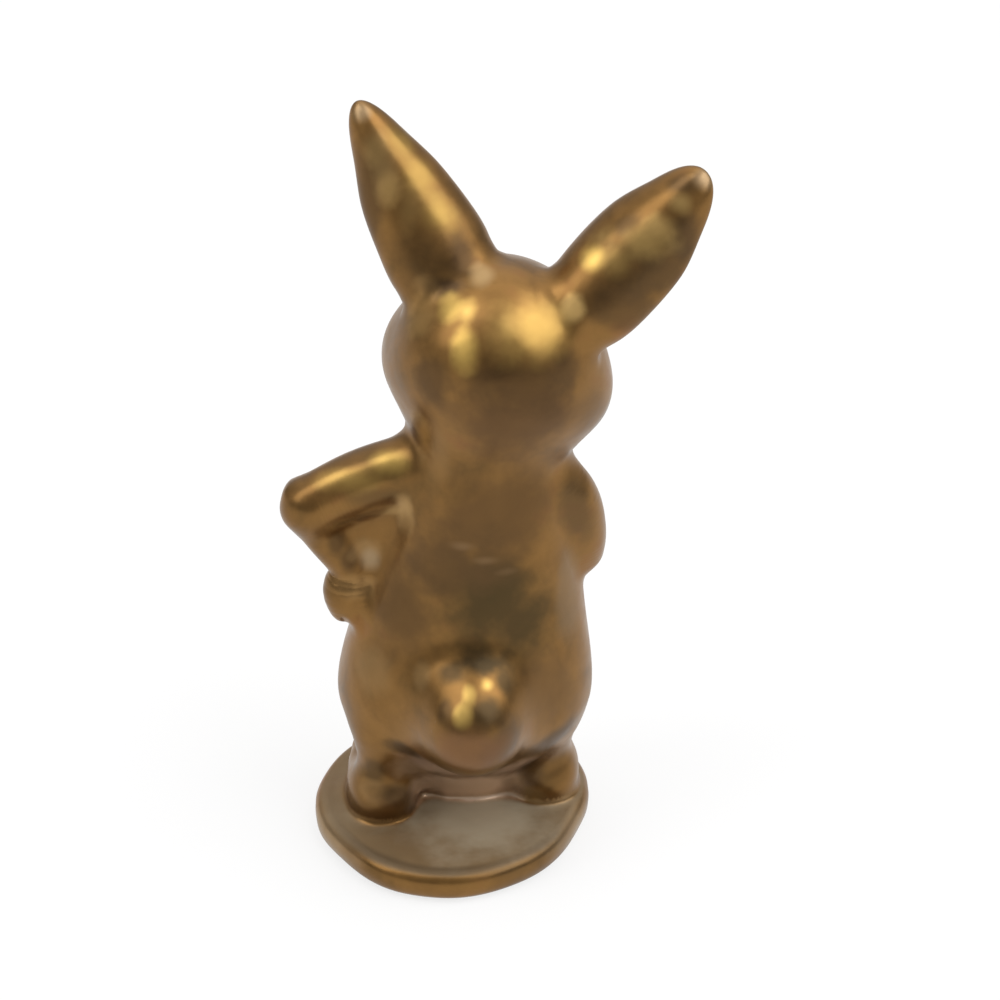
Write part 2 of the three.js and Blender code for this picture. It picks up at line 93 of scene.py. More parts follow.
def raised(direction, at, rise, spread):
    """A soft swelling: rise times exp of minus (angle from its middle over its spread) squared."""
    angle = np.arccos(np.clip(direction @ unit(np.array(at, float)), -1, 1))
    return rise * np.exp(-((angle / np.radians(spread)) ** 2))


def block_reach(direction, half_sizes, power):
    """How far a rounded block reaches in a direction; a power of 2 makes it an ellipsoid."""
    return (np.abs(direction / np.array(half_sizes)) ** power).sum(-1) ** (-1 / power)


def block_form(centre, half_sizes, power):
    """Skin and distance of a rounded block: its reach in a direction, and a way's length less that reach."""

    def point(turn, fall):
        direction = bearing(turn, fall)
        return centre + direction * block_reach(direction, half_sizes, power)[..., None]

    def distance(p):
        way = p - centre
        return np.linalg.norm(way, axis=1) - block_reach(unit(way), half_sizes, power)

    return point, distance


print("curve check:", smooth_through([[0.0], [1.0], [4.0]])(np.array([0, 0.5, 1])).ravel())

# %% [markdown]
# ## The body
#
# The body is a pear that leans a little to its right: oval rings along a bent spine. One function gives the
# points of its skin, for the mesh. A second one says how far any point lies outside it, for the joins. The
# second needs no exact answer, only one that is 0 on the skin and grows about as fast as the way out does.
# Under the body, between the legs, a rounded block is the seat that meets the slab.

# %% Body form
# height, lean to its left, set to its back, half width, reach to the front, reach to the back
BODY_LEVELS = np.array(
    [
        [3.2, -1.3, 0.3, 13.4, 10.4, 10.0],
        [9.9, -1.4, 0.2, 14.3, 11.6, 11.0],
        [15.9, -1.6, 0.0, 14.2, 12.0, 11.0],
        [25.4, -2.3, -0.6, 12.4, 11.6, 9.6],
        [35.4, -3.6, -0.8, 10.2, 9.4, 8.6],
        [43.4, -3.8, -0.8, 9.7, 8.2, 8.6],
        [54.0, -3.9, -0.8, 9.4, 7.4, 9.8],
    ]
)
BODY_BLUNTNESS = 4
body_spine = smooth_through(BODY_LEVELS[:, [1, 2, 0]])
body_girth = smooth_through(BODY_LEVELS[:, 3:])
SPINE_SHARES = np.linspace(0, 1, 400)
SPINE_HEIGHTS = body_spine(SPINE_SHARES)[:, 2]
BEYOND_ENDS = 20.0  # mm past an end of the spine that count as one half length


def body_point(turn, fall):
    """A ring's middle on the spine, plus half width times cos turn and depth times sin turn, tapered."""
    share = (1 + np.cos(fall)) / 2
    point, (wide, front, back) = body_spine(share), np.moveaxis(body_girth(share), -1, 0)
    taper = end_taper(fall, BODY_BLUNTNESS)
    point[..., 0] += wide * taper * np.cos(turn)
    point[..., 1] += np.where(np.sin(turn) < 0, front, back) * taper * np.sin(turn)
    return point


def body_distance(p):
    """Ring share and end share under one root, less 1, times the ring's radius towards the point."""
    inside = np.clip(p[:, 2], SPINE_HEIGHTS[0], SPINE_HEIGHTS[-1])
    share = np.interp(inside, SPINE_HEIGHTS, SPINE_SHARES)
    end = np.abs(2 * share - 1 + (p[:, 2] - inside) / BEYOND_ENDS)
    wide, front, back = body_girth(share).T
    x, y = (p - body_spine(share))[:, :2].T
    ring = np.hypot(x / wide, y / np.where(y < 0, front, back))
    radius = np.where(ring > ON_AXIS, np.hypot(x, y) / np.maximum(ring, ON_AXIS), wide)
    return (np.sqrt(ring**2 + end**BODY_BLUNTNESS) - 1) * radius


def near_body(height, around, lift):
    """The point of the body at a height and an angle round it, lifted off its skin."""
    fall = np.arccos(2 * np.interp(height, SPINE_HEIGHTS, SPINE_SHARES) - 1)
    turn = np.radians(around)
    out = np.stack([np.cos(turn), np.sin(turn), 0 * turn], -1)
    return body_point(turn, fall) + np.asarray(lift)[..., None] * out


SEAT_CENTRE, SEAT_HALF_SIZES, SEAT_POWER = np.array([-1.5, -2.0, 4.5]), (6.2, 6.0, 5.2), 3
seat = block_form(SEAT_CENTRE, SEAT_HALF_SIZES, SEAT_POWER)
on_skin = body_point(np.array([0.3, 2.0]), np.array([1.0, 2.0]))
print("body distance on its own skin:", body_distance(on_skin))

# %% [markdown]
# ## The head
#
# The head is nearly a ball, so its skin is a reach from its middle in every direction: an ellipsoid with
# soft swellings for cheeks, muzzle and eyes. The photograph shows only its back, so the face is a plain calm
# rabbit's face. Its eyelids and mouth are shallow grooves, given as bands of angle round the eye and below
# the nose.

# %% Head form
HEAD_CENTRE = np.array([-5.2, -1.7, 55.3])
HEAD_TURN, HEAD_TILT = np.radians([-14.0, -9.0])
HEAD_HALF_SIZES = (10.9, 10.6, 10.9)
# direction, rise and spread; those off the middle plane are made on both sides
FACE_FORMS = {
    "cheek": ((0.88, -0.22, -0.42), 2.6, 34),
    "muzzle": ((0, -0.93, -0.37), 3.0, 27),
    "whisker pad": ((0.22, -0.92, -0.34), 1.1, 13),
    "chin": ((0, -0.78, -0.62), 0.8, 14),
    "nose": ((0, -0.99, -0.12), 1.1, 9),
    "eye hollow": ((0.54, -0.82, 0.18), -1.1, 21),
    "eye": ((0.55, -0.82, 0.17), 1.6, 11),
    "brow": ((0.5, -0.72, 0.48), 0.5, 16),
}
LID_ANGLE, LID_WIDTH, LID_DEPTH = 12.5, 2.6, 0.28
NOSE_FOOT, MOUTH_LEVEL, MOUTH_SIDE, MOUTH_CURL = -12.5, -24.0, 15.0, 4.5
LINE_WIDTH, LINE_DEPTH = 1.9, 0.42

cos_z, sin_z, cos_y, sin_y = np.cos(HEAD_TURN), np.sin(HEAD_TURN), np.cos(HEAD_TILT), np.sin(HEAD_TILT)
HEAD_AXES = np.array([[cos_z, -sin_z, 0], [sin_z, cos_z, 0], [0, 0, 1]]) @ np.array(
    [[cos_y, 0, sin_y], [0, 1, 0], [-sin_y, 0, cos_y]]
)


def face_lines(direction):
    """Grooves: a ring round each eye, a line down from the nose, and a mouth that curls up at both sides."""
    folded = direction.copy()
    folded[:, 0] = np.abs(folded[:, 0])
    from_eye = np.degrees(np.arccos(np.clip(folded @ unit(np.array(FACE_FORMS["eye"][0])), -1, 1)))
    lid = LID_DEPTH * np.exp(-(((from_eye - LID_ANGLE) / LID_WIDTH) ** 2))
    across = np.degrees(np.arctan2(folded[:, 0], -direction[:, 1]))
    level = np.degrees(np.arcsin(np.clip(direction[:, 2], -1, 1)))
    curl = MOUTH_LEVEL + MOUTH_CURL * (across / MOUTH_SIDE) ** 2
    mouth = np.exp(-(((level - curl) / LINE_WIDTH) ** 2)) / (1 + np.exp(across - MOUTH_SIDE))
    lip = np.exp(-((across / LINE_WIDTH) ** 2))
    lip = lip / (1 + np.exp(level - NOSE_FOOT)) / (1 + np.exp(2 * (MOUTH_LEVEL - level)))
    front = direction[:, 1] < 0
    return front * (lid + LINE_DEPTH * np.maximum(mouth, lip))


def head_reach(direction):
    """The ellipsoid's reach plus every swelling on both sides, less the grooves."""
    reach = block_reach(direction, HEAD_HALF_SIZES, 2)
    for (x, y, z), rise, spread in FACE_FORMS.values():
        for side in {x, -x}:
            reach = reach + raised(direction, (side, y, z), rise, spread)
    return reach - face_lines(direction)


def head_local(p):
    """A point of the figure's frame, seen from the turned and tilted head."""
    return (p - HEAD_CENTRE) @ HEAD_AXES


def head_distance(p):
    """Length of the way from the head's middle, less its reach that way."""
    local = head_local(p)
    return np.linalg.norm(local, axis=1) - head_reach(unit(local))


FACE_FINENESS = 0.35  # how much closer the grid lies on the face than on the nape


def head_point(turn, fall):
    """Reach times direction, in the head's own axes, moved to the figure's frame."""
    direction = bearing(turn - FACE_FINENESS * np.cos(turn), fall)
    flat = direction.reshape(-1, 3)
    local = flat * head_reach(flat)[:, None]
    return (HEAD_CENTRE + local @ HEAD_AXES.T).reshape(direction.shape)


print("head reaches", head_reach(np.array([[0, -1.0, 0], [0, 1.0, 0]])).round(2), "mm to front and back")

# %% [markdown]
# ## The ears
#
# Each ear is a leaf that is widest near its root: domed behind, hollow in front and nearly pointed at the
# tip. A leaf could be a flat sheet with a Solidify modifier. A closed form with a thick root is closer to
# the casting.

# %% Ear form
EAR_LENGTH, EAR_ROOT_DEPTH, EAR_BLUNTNESS = 20.3, 5.0, 5
EAR_HALF_WIDTH, EAR_DOME, EAR_HALF_THICKNESS = 6.0, 2.0, 1.1
EAR_ROOT_BACK = -0.02
EAR_EVEN = 0.35  # share of the length at which both ears are equally wide
EAR_LEAST_TAPER = 0.06  # square of the taper, kept above this past the ends
# shares of width, forward curl, thickness behind and thickness in front, from the root to the tip
EAR_SHAPE = [
    [0.75, 0.2, 3.1, 1.6],
    [0.94, 0.4, 3.2, 1.2],
    [0.94, 0.5, 2.8, 0.6],
    [0.83, 0.5, 2.4, 0.5],
    [0.58, 0.4, 2.0, 0.6],
    [0.41, 0.2, 1.5, 0.9],
]
EAR_SIZES = [EAR_HALF_WIDTH, EAR_DOME, EAR_HALF_THICKNESS, EAR_HALF_THICKNESS]
ear_sizes = smooth_through(np.array(EAR_SHAPE) * EAR_SIZES)


def ear_form(way, aside, splay, lean_back, turn, fuller):
    """Skin and distance of one ear: width, thickness, and a curl that grows with the width squared."""
    root = unit(np.array([way * aside, EAR_ROOT_BACK, np.sqrt(1 - aside**2)]))
    root = root * head_reach(root[None])
    ahead = unit(np.array([way * np.tan(np.radians(splay)), np.tan(np.radians(lean_back)), 1]))
    out = np.array([way * np.sin(np.radians(turn)), np.cos(np.radians(turn)), 0])
    across = unit(np.cross(ahead, out))
    back = np.cross(across, ahead)
    axes = np.stack([across, back, ahead])
    length = EAR_LENGTH + EAR_ROOT_DEPTH

    def point(around, fall):
        share = (1 - np.cos(fall)) / 2
        taper = end_taper(fall, EAR_BLUNTNESS)
        wide, dome, behind, before = np.moveaxis(ear_sizes(share), -1, 0)
        wide = wide * (1 + fuller * (share - EAR_EVEN))
        thick = np.where(np.sin(around) > 0, behind, before)
        side, depth = wide * np.cos(around), thick * np.sin(around) - dome * np.cos(around) ** 2
        local = np.stack([taper * side, taper * depth, share * length - EAR_ROOT_DEPTH], -1)
        return HEAD_CENTRE + (root + local @ axes) @ HEAD_AXES.T

    def distance(p):
        side, depth, along = ((head_local(p) - root) @ axes.T).T
        share = (along + EAR_ROOT_DEPTH) / length
        end = np.abs(2 * share - 1)
        taper = np.sqrt(np.maximum(EAR_LEAST_TAPER, 1 - end**EAR_BLUNTNESS))
        wide, dome, behind, before = ear_sizes(share).T
        wide = wide * (1 + fuller * (np.clip(share, 0, 1) - EAR_EVEN))
        depth = depth + dome * (side / wide) ** 2 / taper
        thick = np.where(depth > 0, behind, before)
        ring = np.hypot(side / wide, depth / thick)
        radius = np.where(ring > ON_AXIS, np.hypot(side, depth) / np.maximum(ring, ON_AXIS), thick)
        return (np.sqrt(ring**2 + end**EAR_BLUNTNESS) - 1) * radius

    return point, distance


left_ear = ear_form(1, 0.636, 41.9, -15, -36, -0.19)
right_ear = ear_form(-1, 0.695, 29.7, -18, -26, 0.39)
print("left ear tip:", left_ear[0](np.array(0.0), np.array(np.pi)).round(1))

# %% [markdown]
# ## Arms
#
# An arm is a round section carried along a curve that hugs the body. Its distance is the smallest over short
# straight stretches: how far a point is from the stretch, less the radius there. The left hand rests on the
# hip, and the caster closed the triangle inside that arm with a thin recessed web, because a hole there
# would not leave the mould. The paws get shallow grooves between their fingers.

# %% Arm forms
STRETCHES = 28
END_INSET = 1.0  # share of its radius by which a limb's last ball stays back from its end
LIMB_BLUNTNESS = 4
SPINE_STEP = 0.005  # share of a spine to both sides that gives its direction
FINGER_DEPTH, FINGER_WIDTH, FINGER_GAPS = 0.35, 0.2, (-0.38, 0.38)
KNUCKLES, KNUCKLE_SHARPNESS = 0.2, 4  # where the grooves begin, in radii, and how sharply


def limb_form(route, across, paw=False):
    """Skin and distance of a limb: circles square to a curve through points near the body."""
    height, around, lift, radius = np.array(route, float).T
    spine = smooth_through(near_body(height, around, lift))
    girth = smooth_through(radius[:, None])
    shares = np.linspace(0, 1, 200)
    steps = np.linalg.norm(np.diff(spine(shares), axis=0), axis=1)
    way = np.concatenate([[0], np.cumsum(steps)])
    first, last = END_INSET * radius[0], way[-1] - END_INSET * radius[-1]
    knots = np.interp(np.linspace(first, last, STRETCHES + 1), way, shares)
    start, size = spine(knots), girth(knots)[:, 0]
    stretch, swell = np.diff(start, axis=0), np.diff(size)

    def point(turn, fall):
        share = (1 - np.cos(fall)) / 2
        ahead = unit(spine(share + SPINE_STEP) - spine(share - SPINE_STEP))
        side = unit(np.cross(across, ahead))
        over = np.cross(side, ahead)
        reach = (girth(share)[..., 0] * end_taper(fall, LIMB_BLUNTNESS))[..., None]
        return spine(share) + reach * (np.cos(turn)[..., None] * side + np.sin(turn)[..., None] * over)

    def distance(p):
        apart = p[:, None] - start[None, :-1]
        part = np.clip((apart * stretch).sum(-1) / (stretch**2).sum(-1), 0, 1)
        gap = np.linalg.norm(apart - part[..., None] * stretch, axis=-1) - size[:-1] - part * swell
        nearest = gap.argmin(1)
        found = gap[np.arange(len(p)), nearest]
        if not paw:
            return found
        ahead = unit(stretch[-1])
        side = unit(np.cross(across, ahead))
        beside = (p - start[-1]) @ side / size[-1]
        beyond = (p - start[-1]) @ ahead - KNUCKLES * size[-1]
        grooves = sum(np.exp(-(((beside - at) / FINGER_WIDTH) ** 2)) for at in FINGER_GAPS)
        return found + FINGER_DEPTH * grooves / (1 + np.exp(-KNUCKLE_SHARPNESS * beyond))

    return point, distance


SIDEWAYS, UPWARDS = np.array([0.0, 1.0, 0.0]), np.array([0.0, 0.0, 1.0])
# height, angle round the body, lift off it, radius
LEFT_UPPER_ARM = [(44.2, 12, -6.5, 3.3), (41.3, 8, 3.4, 3.5), (37.8, 10, 11.7, 3.0)]
LEFT_FOREARM = [
    (40.2, 8, 11.6, 2.6),
    (34.4, 9, 6.9, 2.2),
    (29.8, 8, 2.8, 2.0),
    (26.8, 8, 1.7, 2.8),
    (23.4, 8, -0.4, 2.3),
]
RIGHT_UPPER_ARM = [
    (43.6, 172, -4.4, 3.0),
    (38.8, 176, -0.9, 3.3),
    (33.4, 184, -0.2, 3.4),
    (28.0, 192, -0.7, 2.9),
]
RIGHT_FOREARM = [
    (29.0, 186, 0.0, 2.8),
    (30.9, 214, 1.2, 2.6),
    (33.2, 242, 1.3, 2.4),
    (34.6, 259, 1.1, 3.0),
    (35.4, 273, 0.4, 2.5),
]
left_upper_arm = limb_form(LEFT_UPPER_ARM, SIDEWAYS)
left_forearm = limb_form(LEFT_FOREARM, SIDEWAYS, paw=True)
right_upper_arm = limb_form(RIGHT_UPPER_ARM, SIDEWAYS)
right_forearm = limb_form(RIGHT_FOREARM, UPWARDS, paw=True)
print("left elbow:", left_forearm[0](np.array(0.0), np.array(0.0)).round(1))

# %% The web inside the left arm
WEB_HALF_THICKNESS, WEB_SET = 1.0, -0.7
TILE_SIDE, TILE_FACE = 0.5, 0.2  # powers that blunt a sine and a cosine to a tile's section
web_route = [*LEFT_UPPER_ARM[:2], *LEFT_FOREARM[:3], (29.8, 8, -6.5, 0)]
web_places = near_body(*np.array(web_route, float).T[:3])
WEB_LEVEL = web_places[3, 1] + WEB_SET
WEB_CORNERS = web_places[:, [0, 2]]
WEB_MIDDLE = WEB_CORNERS.mean(0)


def web_distance(p):
    """Distance to a flat polygon, edge by edge, joined with the distance to its thickness."""
    flat = p[:, [0, 2]]
    nearest, crossings = np.full(len(p), np.inf), np.zeros(len(p), int)
    for a, b in zip(WEB_CORNERS, np.roll(WEB_CORNERS, -1, axis=0)):
        along, off = b - a, flat - a
        part = np.clip(off @ along / (along @ along), 0, 1)
        nearest = np.minimum(nearest, np.linalg.norm(off - part[:, None] * along, axis=1))
        spans = (a[1] <= flat[:, 1]) != (b[1] <= flat[:, 1])
        level = along[1] if abs(along[1]) > TINY else TINY
        crossings += spans & (flat[:, 0] < a[0] + (flat[:, 1] - a[1]) * along[0] / level)
    edge = np.where(crossings % 2, -nearest, nearest)
    face = np.abs(p[:, 1] - WEB_LEVEL) - WEB_HALF_THICKNESS
    return np.minimum(np.maximum(edge, face), 0) + np.hypot(np.maximum(edge, 0), np.maximum(face, 0))


def web_reach(turn):
    """How far the polygon's edge lies from its middle: the nearest crossing of a ray with its sides."""
    across, up = np.cos(turn), np.sin(turn)
    nearest = np.full(turn.shape, np.inf)
    corners = WEB_CORNERS - WEB_MIDDLE
    for a, b in zip(corners, np.roll(corners, -1, axis=0)):
        side = b - a
        lean = across * side[1] - up * side[0]
        lean = np.where(np.abs(lean) > TINY, lean, TINY)
        way = (a[0] * side[1] - a[1] * side[0]) / lean
        part = (a[0] * up - a[1] * across) / lean
        nearest = np.where((way > 0) & (part >= 0) & (part <= 1), np.minimum(nearest, way), nearest)
    return nearest


def web_point(turn, fall):
    """A tile of the polygon's outline: reach times a blunt sine, thickness times a blunt cosine."""
    out = web_reach(turn) * np.abs(np.sin(fall)) ** TILE_SIDE
    level = WEB_LEVEL - WEB_HALF_THICKNESS * np.sign(np.cos(fall)) * np.abs(np.cos(fall)) ** TILE_FACE
    return np.stack([WEB_MIDDLE[0] + out * np.cos(turn), level, WEB_MIDDLE[1] + out * np.sin(turn)], -1)


print("web middle:", WEB_MIDDLE.round(1))

# %% [markdown]
# ## Tail, legs and slab
#
# The tail is a bob with a blunt top. A leg is a short post that rises from the heel of a long foot, and
# the slab is a thick disc with a rounded edge, trimmed by hand with a knife while the clay was soft.

# %% Tail form
TAIL_CENTRE = near_body(np.array(15.8), np.array(93.0), np.array(0.9))
TAIL_HALF_SIZES = (4.4, 4.4, 4.8)
TIP_CENTRE, TIP_RADIUS = TAIL_CENTRE + [-0.2, -1.0, 1.8], 3.2
ROUND = 2  # the power of a block that is an ellipsoid
tail_bob = block_form(TAIL_CENTRE, TAIL_HALF_SIZES, ROUND)
tail_tip = block_form(TIP_CENTRE, (TIP_RADIUS,) * 3, ROUND)
print("tail middle:", TAIL_CENTRE.round(1))

# %% Leg and foot forms
LEG_RADIUS, LEG_TOP, HEEL = 2.6, 9.9, 0.3
FOOT_HALF_WIDTH, FOOT_HALF_LENGTH, FOOT_HEIGHT, FOOT_POWER = 3.5, 5.9, 4.6, 2.5
FOOT_LIFT, BELOW_MIDDLE, ABOVE_MIDDLE = 0.3, 0.38, 0.62  # lift off the slab, shares of the foot's height
FOOT_MIDDLE = FOOT_LIFT + BELOW_MIDDLE * FOOT_HEIGHT
FOOT_HALF_SIZES = (FOOT_HALF_WIDTH, FOOT_HALF_LENGTH, ABOVE_MIDDLE * FOOT_HEIGHT)
TOES = [((side, -0.94, 0.16), 0.9, 10) for side in (-0.3, 0, 0.3)]


def foot_reach(direction):
    """A rounded block with three toes swelling from its front."""
    return block_reach(direction, FOOT_HALF_SIZES, FOOT_POWER) + sum(raised(direction, *toe) for toe in TOES)


def leg_form(side, set_back, toe_out):
    """Skins and distances of a foot and its leg post, turned out and set on the slab."""
    turned = np.radians(toe_out)
    axes = np.array([[np.cos(turned), np.sin(turned), 0], [-np.sin(turned), np.cos(turned), 0], [0, 0, 1]])
    place = np.array([side, set_back, 0.0])
    middle = np.array([0, 0, FOOT_MIDDLE])
    heel = FOOT_HALF_LENGTH - LEG_RADIUS - HEEL

    def foot_point(turn, fall):
        direction = bearing(turn, fall)
        return place + (middle + direction * foot_reach(direction)[..., None]) @ axes

    def foot_distance(p):
        way = (p - place) @ axes.T - middle
        return np.linalg.norm(way, axis=1) - foot_reach(unit(way))

    def post_point(turn, fall):
        quarter = np.pi / 2
        cap = np.clip(2 * fall, 0, quarter) + np.clip(2 * fall - 3 * quarter, 0, quarter)
        local = LEG_RADIUS * bearing(turn, cap) + np.array([0, heel, 0])
        local[..., 2] += LEG_TOP + (FOOT_MIDDLE - LEG_TOP) * np.clip(fall / quarter - 0.5, 0, 1)
        return place + local @ axes

    def post_distance(p):
        local = (p - place) @ axes.T - [0, heel, 0]
        local[:, 2] -= np.clip(local[:, 2], FOOT_MIDDLE, LEG_TOP)
        return np.linalg.norm(local, axis=1) - LEG_RADIUS

    return (foot_point, foot_distance), (post_point, post_distance)


left_foot, left_post = leg_form(8.1, 1.6, 8)
right_foot, right_post = leg_form(-10.4, -2.2, 4)
print("left heel:", left_foot[0](np.array(np.pi / 2), np.array(np.pi / 2)).round(1))

# %% Slab form
SLAB_HALF_WIDTH, SLAB_HALF_DEPTH, SLAB_THICKNESS, SLAB_EDGE = 15.4, 15.8, 3.6, 1.5
DISC_SIDE, DISC_FACE = 0.45, 0.2  # powers that blunt a sine and a cosine to a disc's section
# angle from its left through its back, rise, spread
SLAB_TRIMS = [(215, 0.9, 30), (155, -0.8, 26), (38, -0.5, 16), (118, -0.6, 20)]


def slab_reach(turn):
    """An oval's reach plus each trim, a rise times exp of minus (angle over spread) squared."""
    reach = 1 / np.hypot(np.cos(turn) / SLAB_HALF_WIDTH, np.sin(turn) / SLAB_HALF_DEPTH)
    for at, rise, spread in SLAB_TRIMS:
        off = np.angle(np.exp(1j * (turn - np.radians(at))))
        reach = reach + rise * np.exp(-((off / np.radians(spread)) ** 2))
    return reach


def slab_distance(p):
    """How far a point is out past the edge and up past the faces, rounded by the edge's radius."""
    x, y, z = (p + FIGURE_FOOT).T
    out = np.hypot(x, y) - slab_reach(np.arctan2(y, x)) + SLAB_EDGE
    over = np.abs(z - SLAB_THICKNESS / 2) - SLAB_THICKNESS / 2 + SLAB_EDGE
    inside = np.minimum(np.maximum(out, over), 0)
    return inside + np.hypot(np.maximum(out, 0), np.maximum(over, 0)) - SLAB_EDGE


def slab_point(turn, fall):
    """A flattened ball: the reach times a blunt sine, and half the thickness times a blunt cosine."""
    out = slab_reach(turn) * np.abs(np.sin(fall)) ** DISC_SIDE
    up = SLAB_THICKNESS / 2 * (1 + np.sign(np.cos(fall)) * np.abs(np.cos(fall)) ** DISC_FACE)
    return np.stack([out * np.cos(turn), out * np.sin(turn), up], -1) - FIGURE_FOOT


print("slab reach to the back:", slab_reach(np.array(np.pi / 2)).round(2))

# %% [markdown]
# ## Wiped joins
#
# A soft minimum of two distances is the distance of both forms together, with the corner between them
# filled. That is what a wet brush does to a luted join. Every grid point is then lifted off its own form,
# straight out, until it lies on this common skin. Past the line where a neighbour is nearer than the form
# itself, the lifted skin falls below the common one, so two skins cross there at a small angle and leave no
# gap. The shading normals are the slope of the common distance, so the crossing isn't seen. A voxel remesh
# would give one lump; this keeps ten pieces that look like one glazed skin.

# %% The common skin
def soft_union(a, b, reach):
    """The smaller of two distances, less (reach minus their difference) squared over four times reach."""
    lack = np.maximum(reach - np.abs(a - b), 0)
    return np.minimum(a, b) - lack**2 / (4 * reach)


# each piece: the width of its wiped join with the rest, the width of the joins inside it, and its forms,
# each with a skin, a distance and the steps of its grid around and along
PIECES = {
    "body": (None, 4.0, [(body_point, body_distance, 230, 200), (*seat, 120, 80)]),
    "head": (4.0, None, [(head_point, head_distance, 270, 190)]),
    "left_ear": (2.2, None, [(*left_ear, 140, 130)]),
    "right_ear": (2.2, None, [(*right_ear, 140, 130)]),
    "left_arm": (
        2.0,
        1.8,
        [(*left_upper_arm, 90, 110), (*left_forearm, 90, 140), (web_point, web_distance, 110, 80)],
    ),
    "right_arm": (1.6, 1.2, [(*right_upper_arm, 90, 110), (*right_forearm, 90, 150)]),
    "left_leg": (3.0, 3.6, [(*left_foot, 150, 90), (*left_post, 90, 80)]),
    "right_leg": (3.0, 3.6, [(*right_foot, 150, 90), (*right_post, 90, 80)]),
    "tail": (5.4, 5.0, [(*tail_bob, 140, 100), (*tail_tip, 100, 70)]),
    "base": (1.8, None, [(slab_point, slab_distance, 280, 190)]),
}
FORMS = [(name, *form) for name, (_, _, forms) in PIECES.items() for form in forms]
FAR = 7.0  # mm: a form further off than this has no say
RIPPLE_HEIGHT, RIPPLE_COUNT = 0.05, 7
SHORTEST_WAVE, LONGEST_WAVE = 6, 15
rng = np.random.default_rng(7)
ripple_headings = unit(rng.normal(size=(RIPPLE_COUNT, 3)))
RIPPLE_WAYS = ripple_headings * 2 * np.pi / rng.uniform(SHORTEST_WAVE, LONGEST_WAVE, (RIPPLE_COUNT, 1))
RIPPLE_STARTS = rng.uniform(0, 2 * np.pi, RIPPLE_COUNT)


def grid(skin, around, along):
    """The skin's points at even turns and falls: one row per fall, with a pole at each end."""
    turn, fall = np.meshgrid(2 * np.pi * np.arange(around) / around, np.pi * np.arange(along + 1) / along)
    return skin(turn, fall)


GRIDS = [grid(skin, around, along) for _, skin, _, around, along in FORMS]
ROOM = [(g.min((0, 1)) - FAR, g.max((0, 1)) + FAR) for g in GRIDS]


def form_distances(p):
    """Distance of every point to every form; a form whose box is far away counts as FAR."""
    found = np.full((len(FORMS), len(p)), FAR)
    for row, (_, _, distance, _, _), (low, high) in zip(found, FORMS, ROOM):
        close = ((p > low) & (p < high)).all(1)
        if close.any():
            row[close] = distance(p[close])
    return found


def join(apart, p):
    """The forms joined within each piece, the pieces joined to the body, and faint ripples of long waves."""
    rows = iter(apart)
    joined = None
    for outer, inner, forms in PIECES.values():
        piece = next(rows)
        for _ in forms[1:]:
            piece = soft_union(piece, next(rows), inner)
        joined = piece if joined is None else soft_union(joined, piece, outer)
    ripples = np.sin(p @ RIPPLE_WAYS.T + RIPPLE_STARTS).sum(1) / np.sqrt(RIPPLE_COUNT)
    return joined + RIPPLE_HEIGHT * ripples


def figure_distance(p):
    """Distance of a point to the common skin."""
    return join(form_distances(p), p)


print("points on all grids:", sum(g.shape[0] * g.shape[1] for g in GRIDS))

# %% Move a skin onto the common one
SLOPE_STEP = 0.02
ROUNDS, LEAST_CLIMB, MOST_STEP, MOST_LIFT = 6, 0.35, 0.8, 2.5
DEEP = 2.0  # mm: a point this far inside another form stays where it is
# half width of a seam, and how fast a skin falls in it and past it
SEAM_HALF, SEAM_FALL, SINK = 1.0, 0.06, 1.2
FEELERS = np.array([0.7, 1.6, 3.2])


def slope(distance, p):
    """Direction in which a distance grows, from its change over a small step each way."""
    steps = SLOPE_STEP * np.eye(3)
    return np.stack([distance(p + s) - distance(p - s) for s in steps], -1) / (2 * SLOPE_STEP)


def height_over(p, own):
    """Distance to the common skin, plus a fall where another form comes nearer than the own one."""
    apart = form_distances(p)
    past = apart[own] - np.delete(apart, own, axis=0).min(0)
    fall = SEAM_FALL * np.clip(past + SEAM_HALF, 0, 2 * SEAM_HALF) + SINK * np.maximum(past - SEAM_HALF, 0)
    return join(apart, p) + fall


def settle(points, own):
    """Lifts points along their own form's slope until their height is 0, by Newton's steps."""
    out = unit(slope(FORMS[own][2], points))
    inside = -np.delete(form_distances(points), own, axis=0).min(0)
    free = np.flatnonzero(inside < DEEP)
    lift = np.zeros(len(points))
    for _ in range(ROUNDS):
        place = points[free] + lift[free, None] * out[free]
        found = height_over(place, own)
        climb = (height_over(place + SLOPE_STEP * out[free], own) - found) / SLOPE_STEP
        lift[free] -= np.clip(found / np.maximum(climb, LEAST_CLIMB), -MOST_STEP, MOST_STEP)
        lift = np.clip(lift, -MOST_LIFT, MOST_LIFT)
    place = points + lift[:, None] * out
    return place, unit(slope(figure_distance, place))


def feel(p, normals):
    """How closed in a point is: the mean share by which the distance falls short at a few steps outwards."""
    short = [1 - figure_distance(p + d * normals) / d for d in FEELERS]
    return np.clip(np.mean(short, axis=0), 0, 1)


def shell_faces(rows, columns, start):
    """Quads between the rings of a grid and a fan of triangles at each pole, numbered from start."""
    ring = start + 1 + np.arange((rows - 2) * columns).reshape(rows - 2, columns)
    beside = np.roll(ring, -1, axis=1)
    quads = np.stack([ring[:-1], ring[1:], beside[1:], beside[:-1]], -1).reshape(-1, 4)
    top = np.stack([np.full(columns, start), ring[0], beside[0]], -1)
    foot = np.stack([np.full(columns, ring[-1, -1] + 1), beside[-1], ring[-1]], -1)
    return quads, top, foot


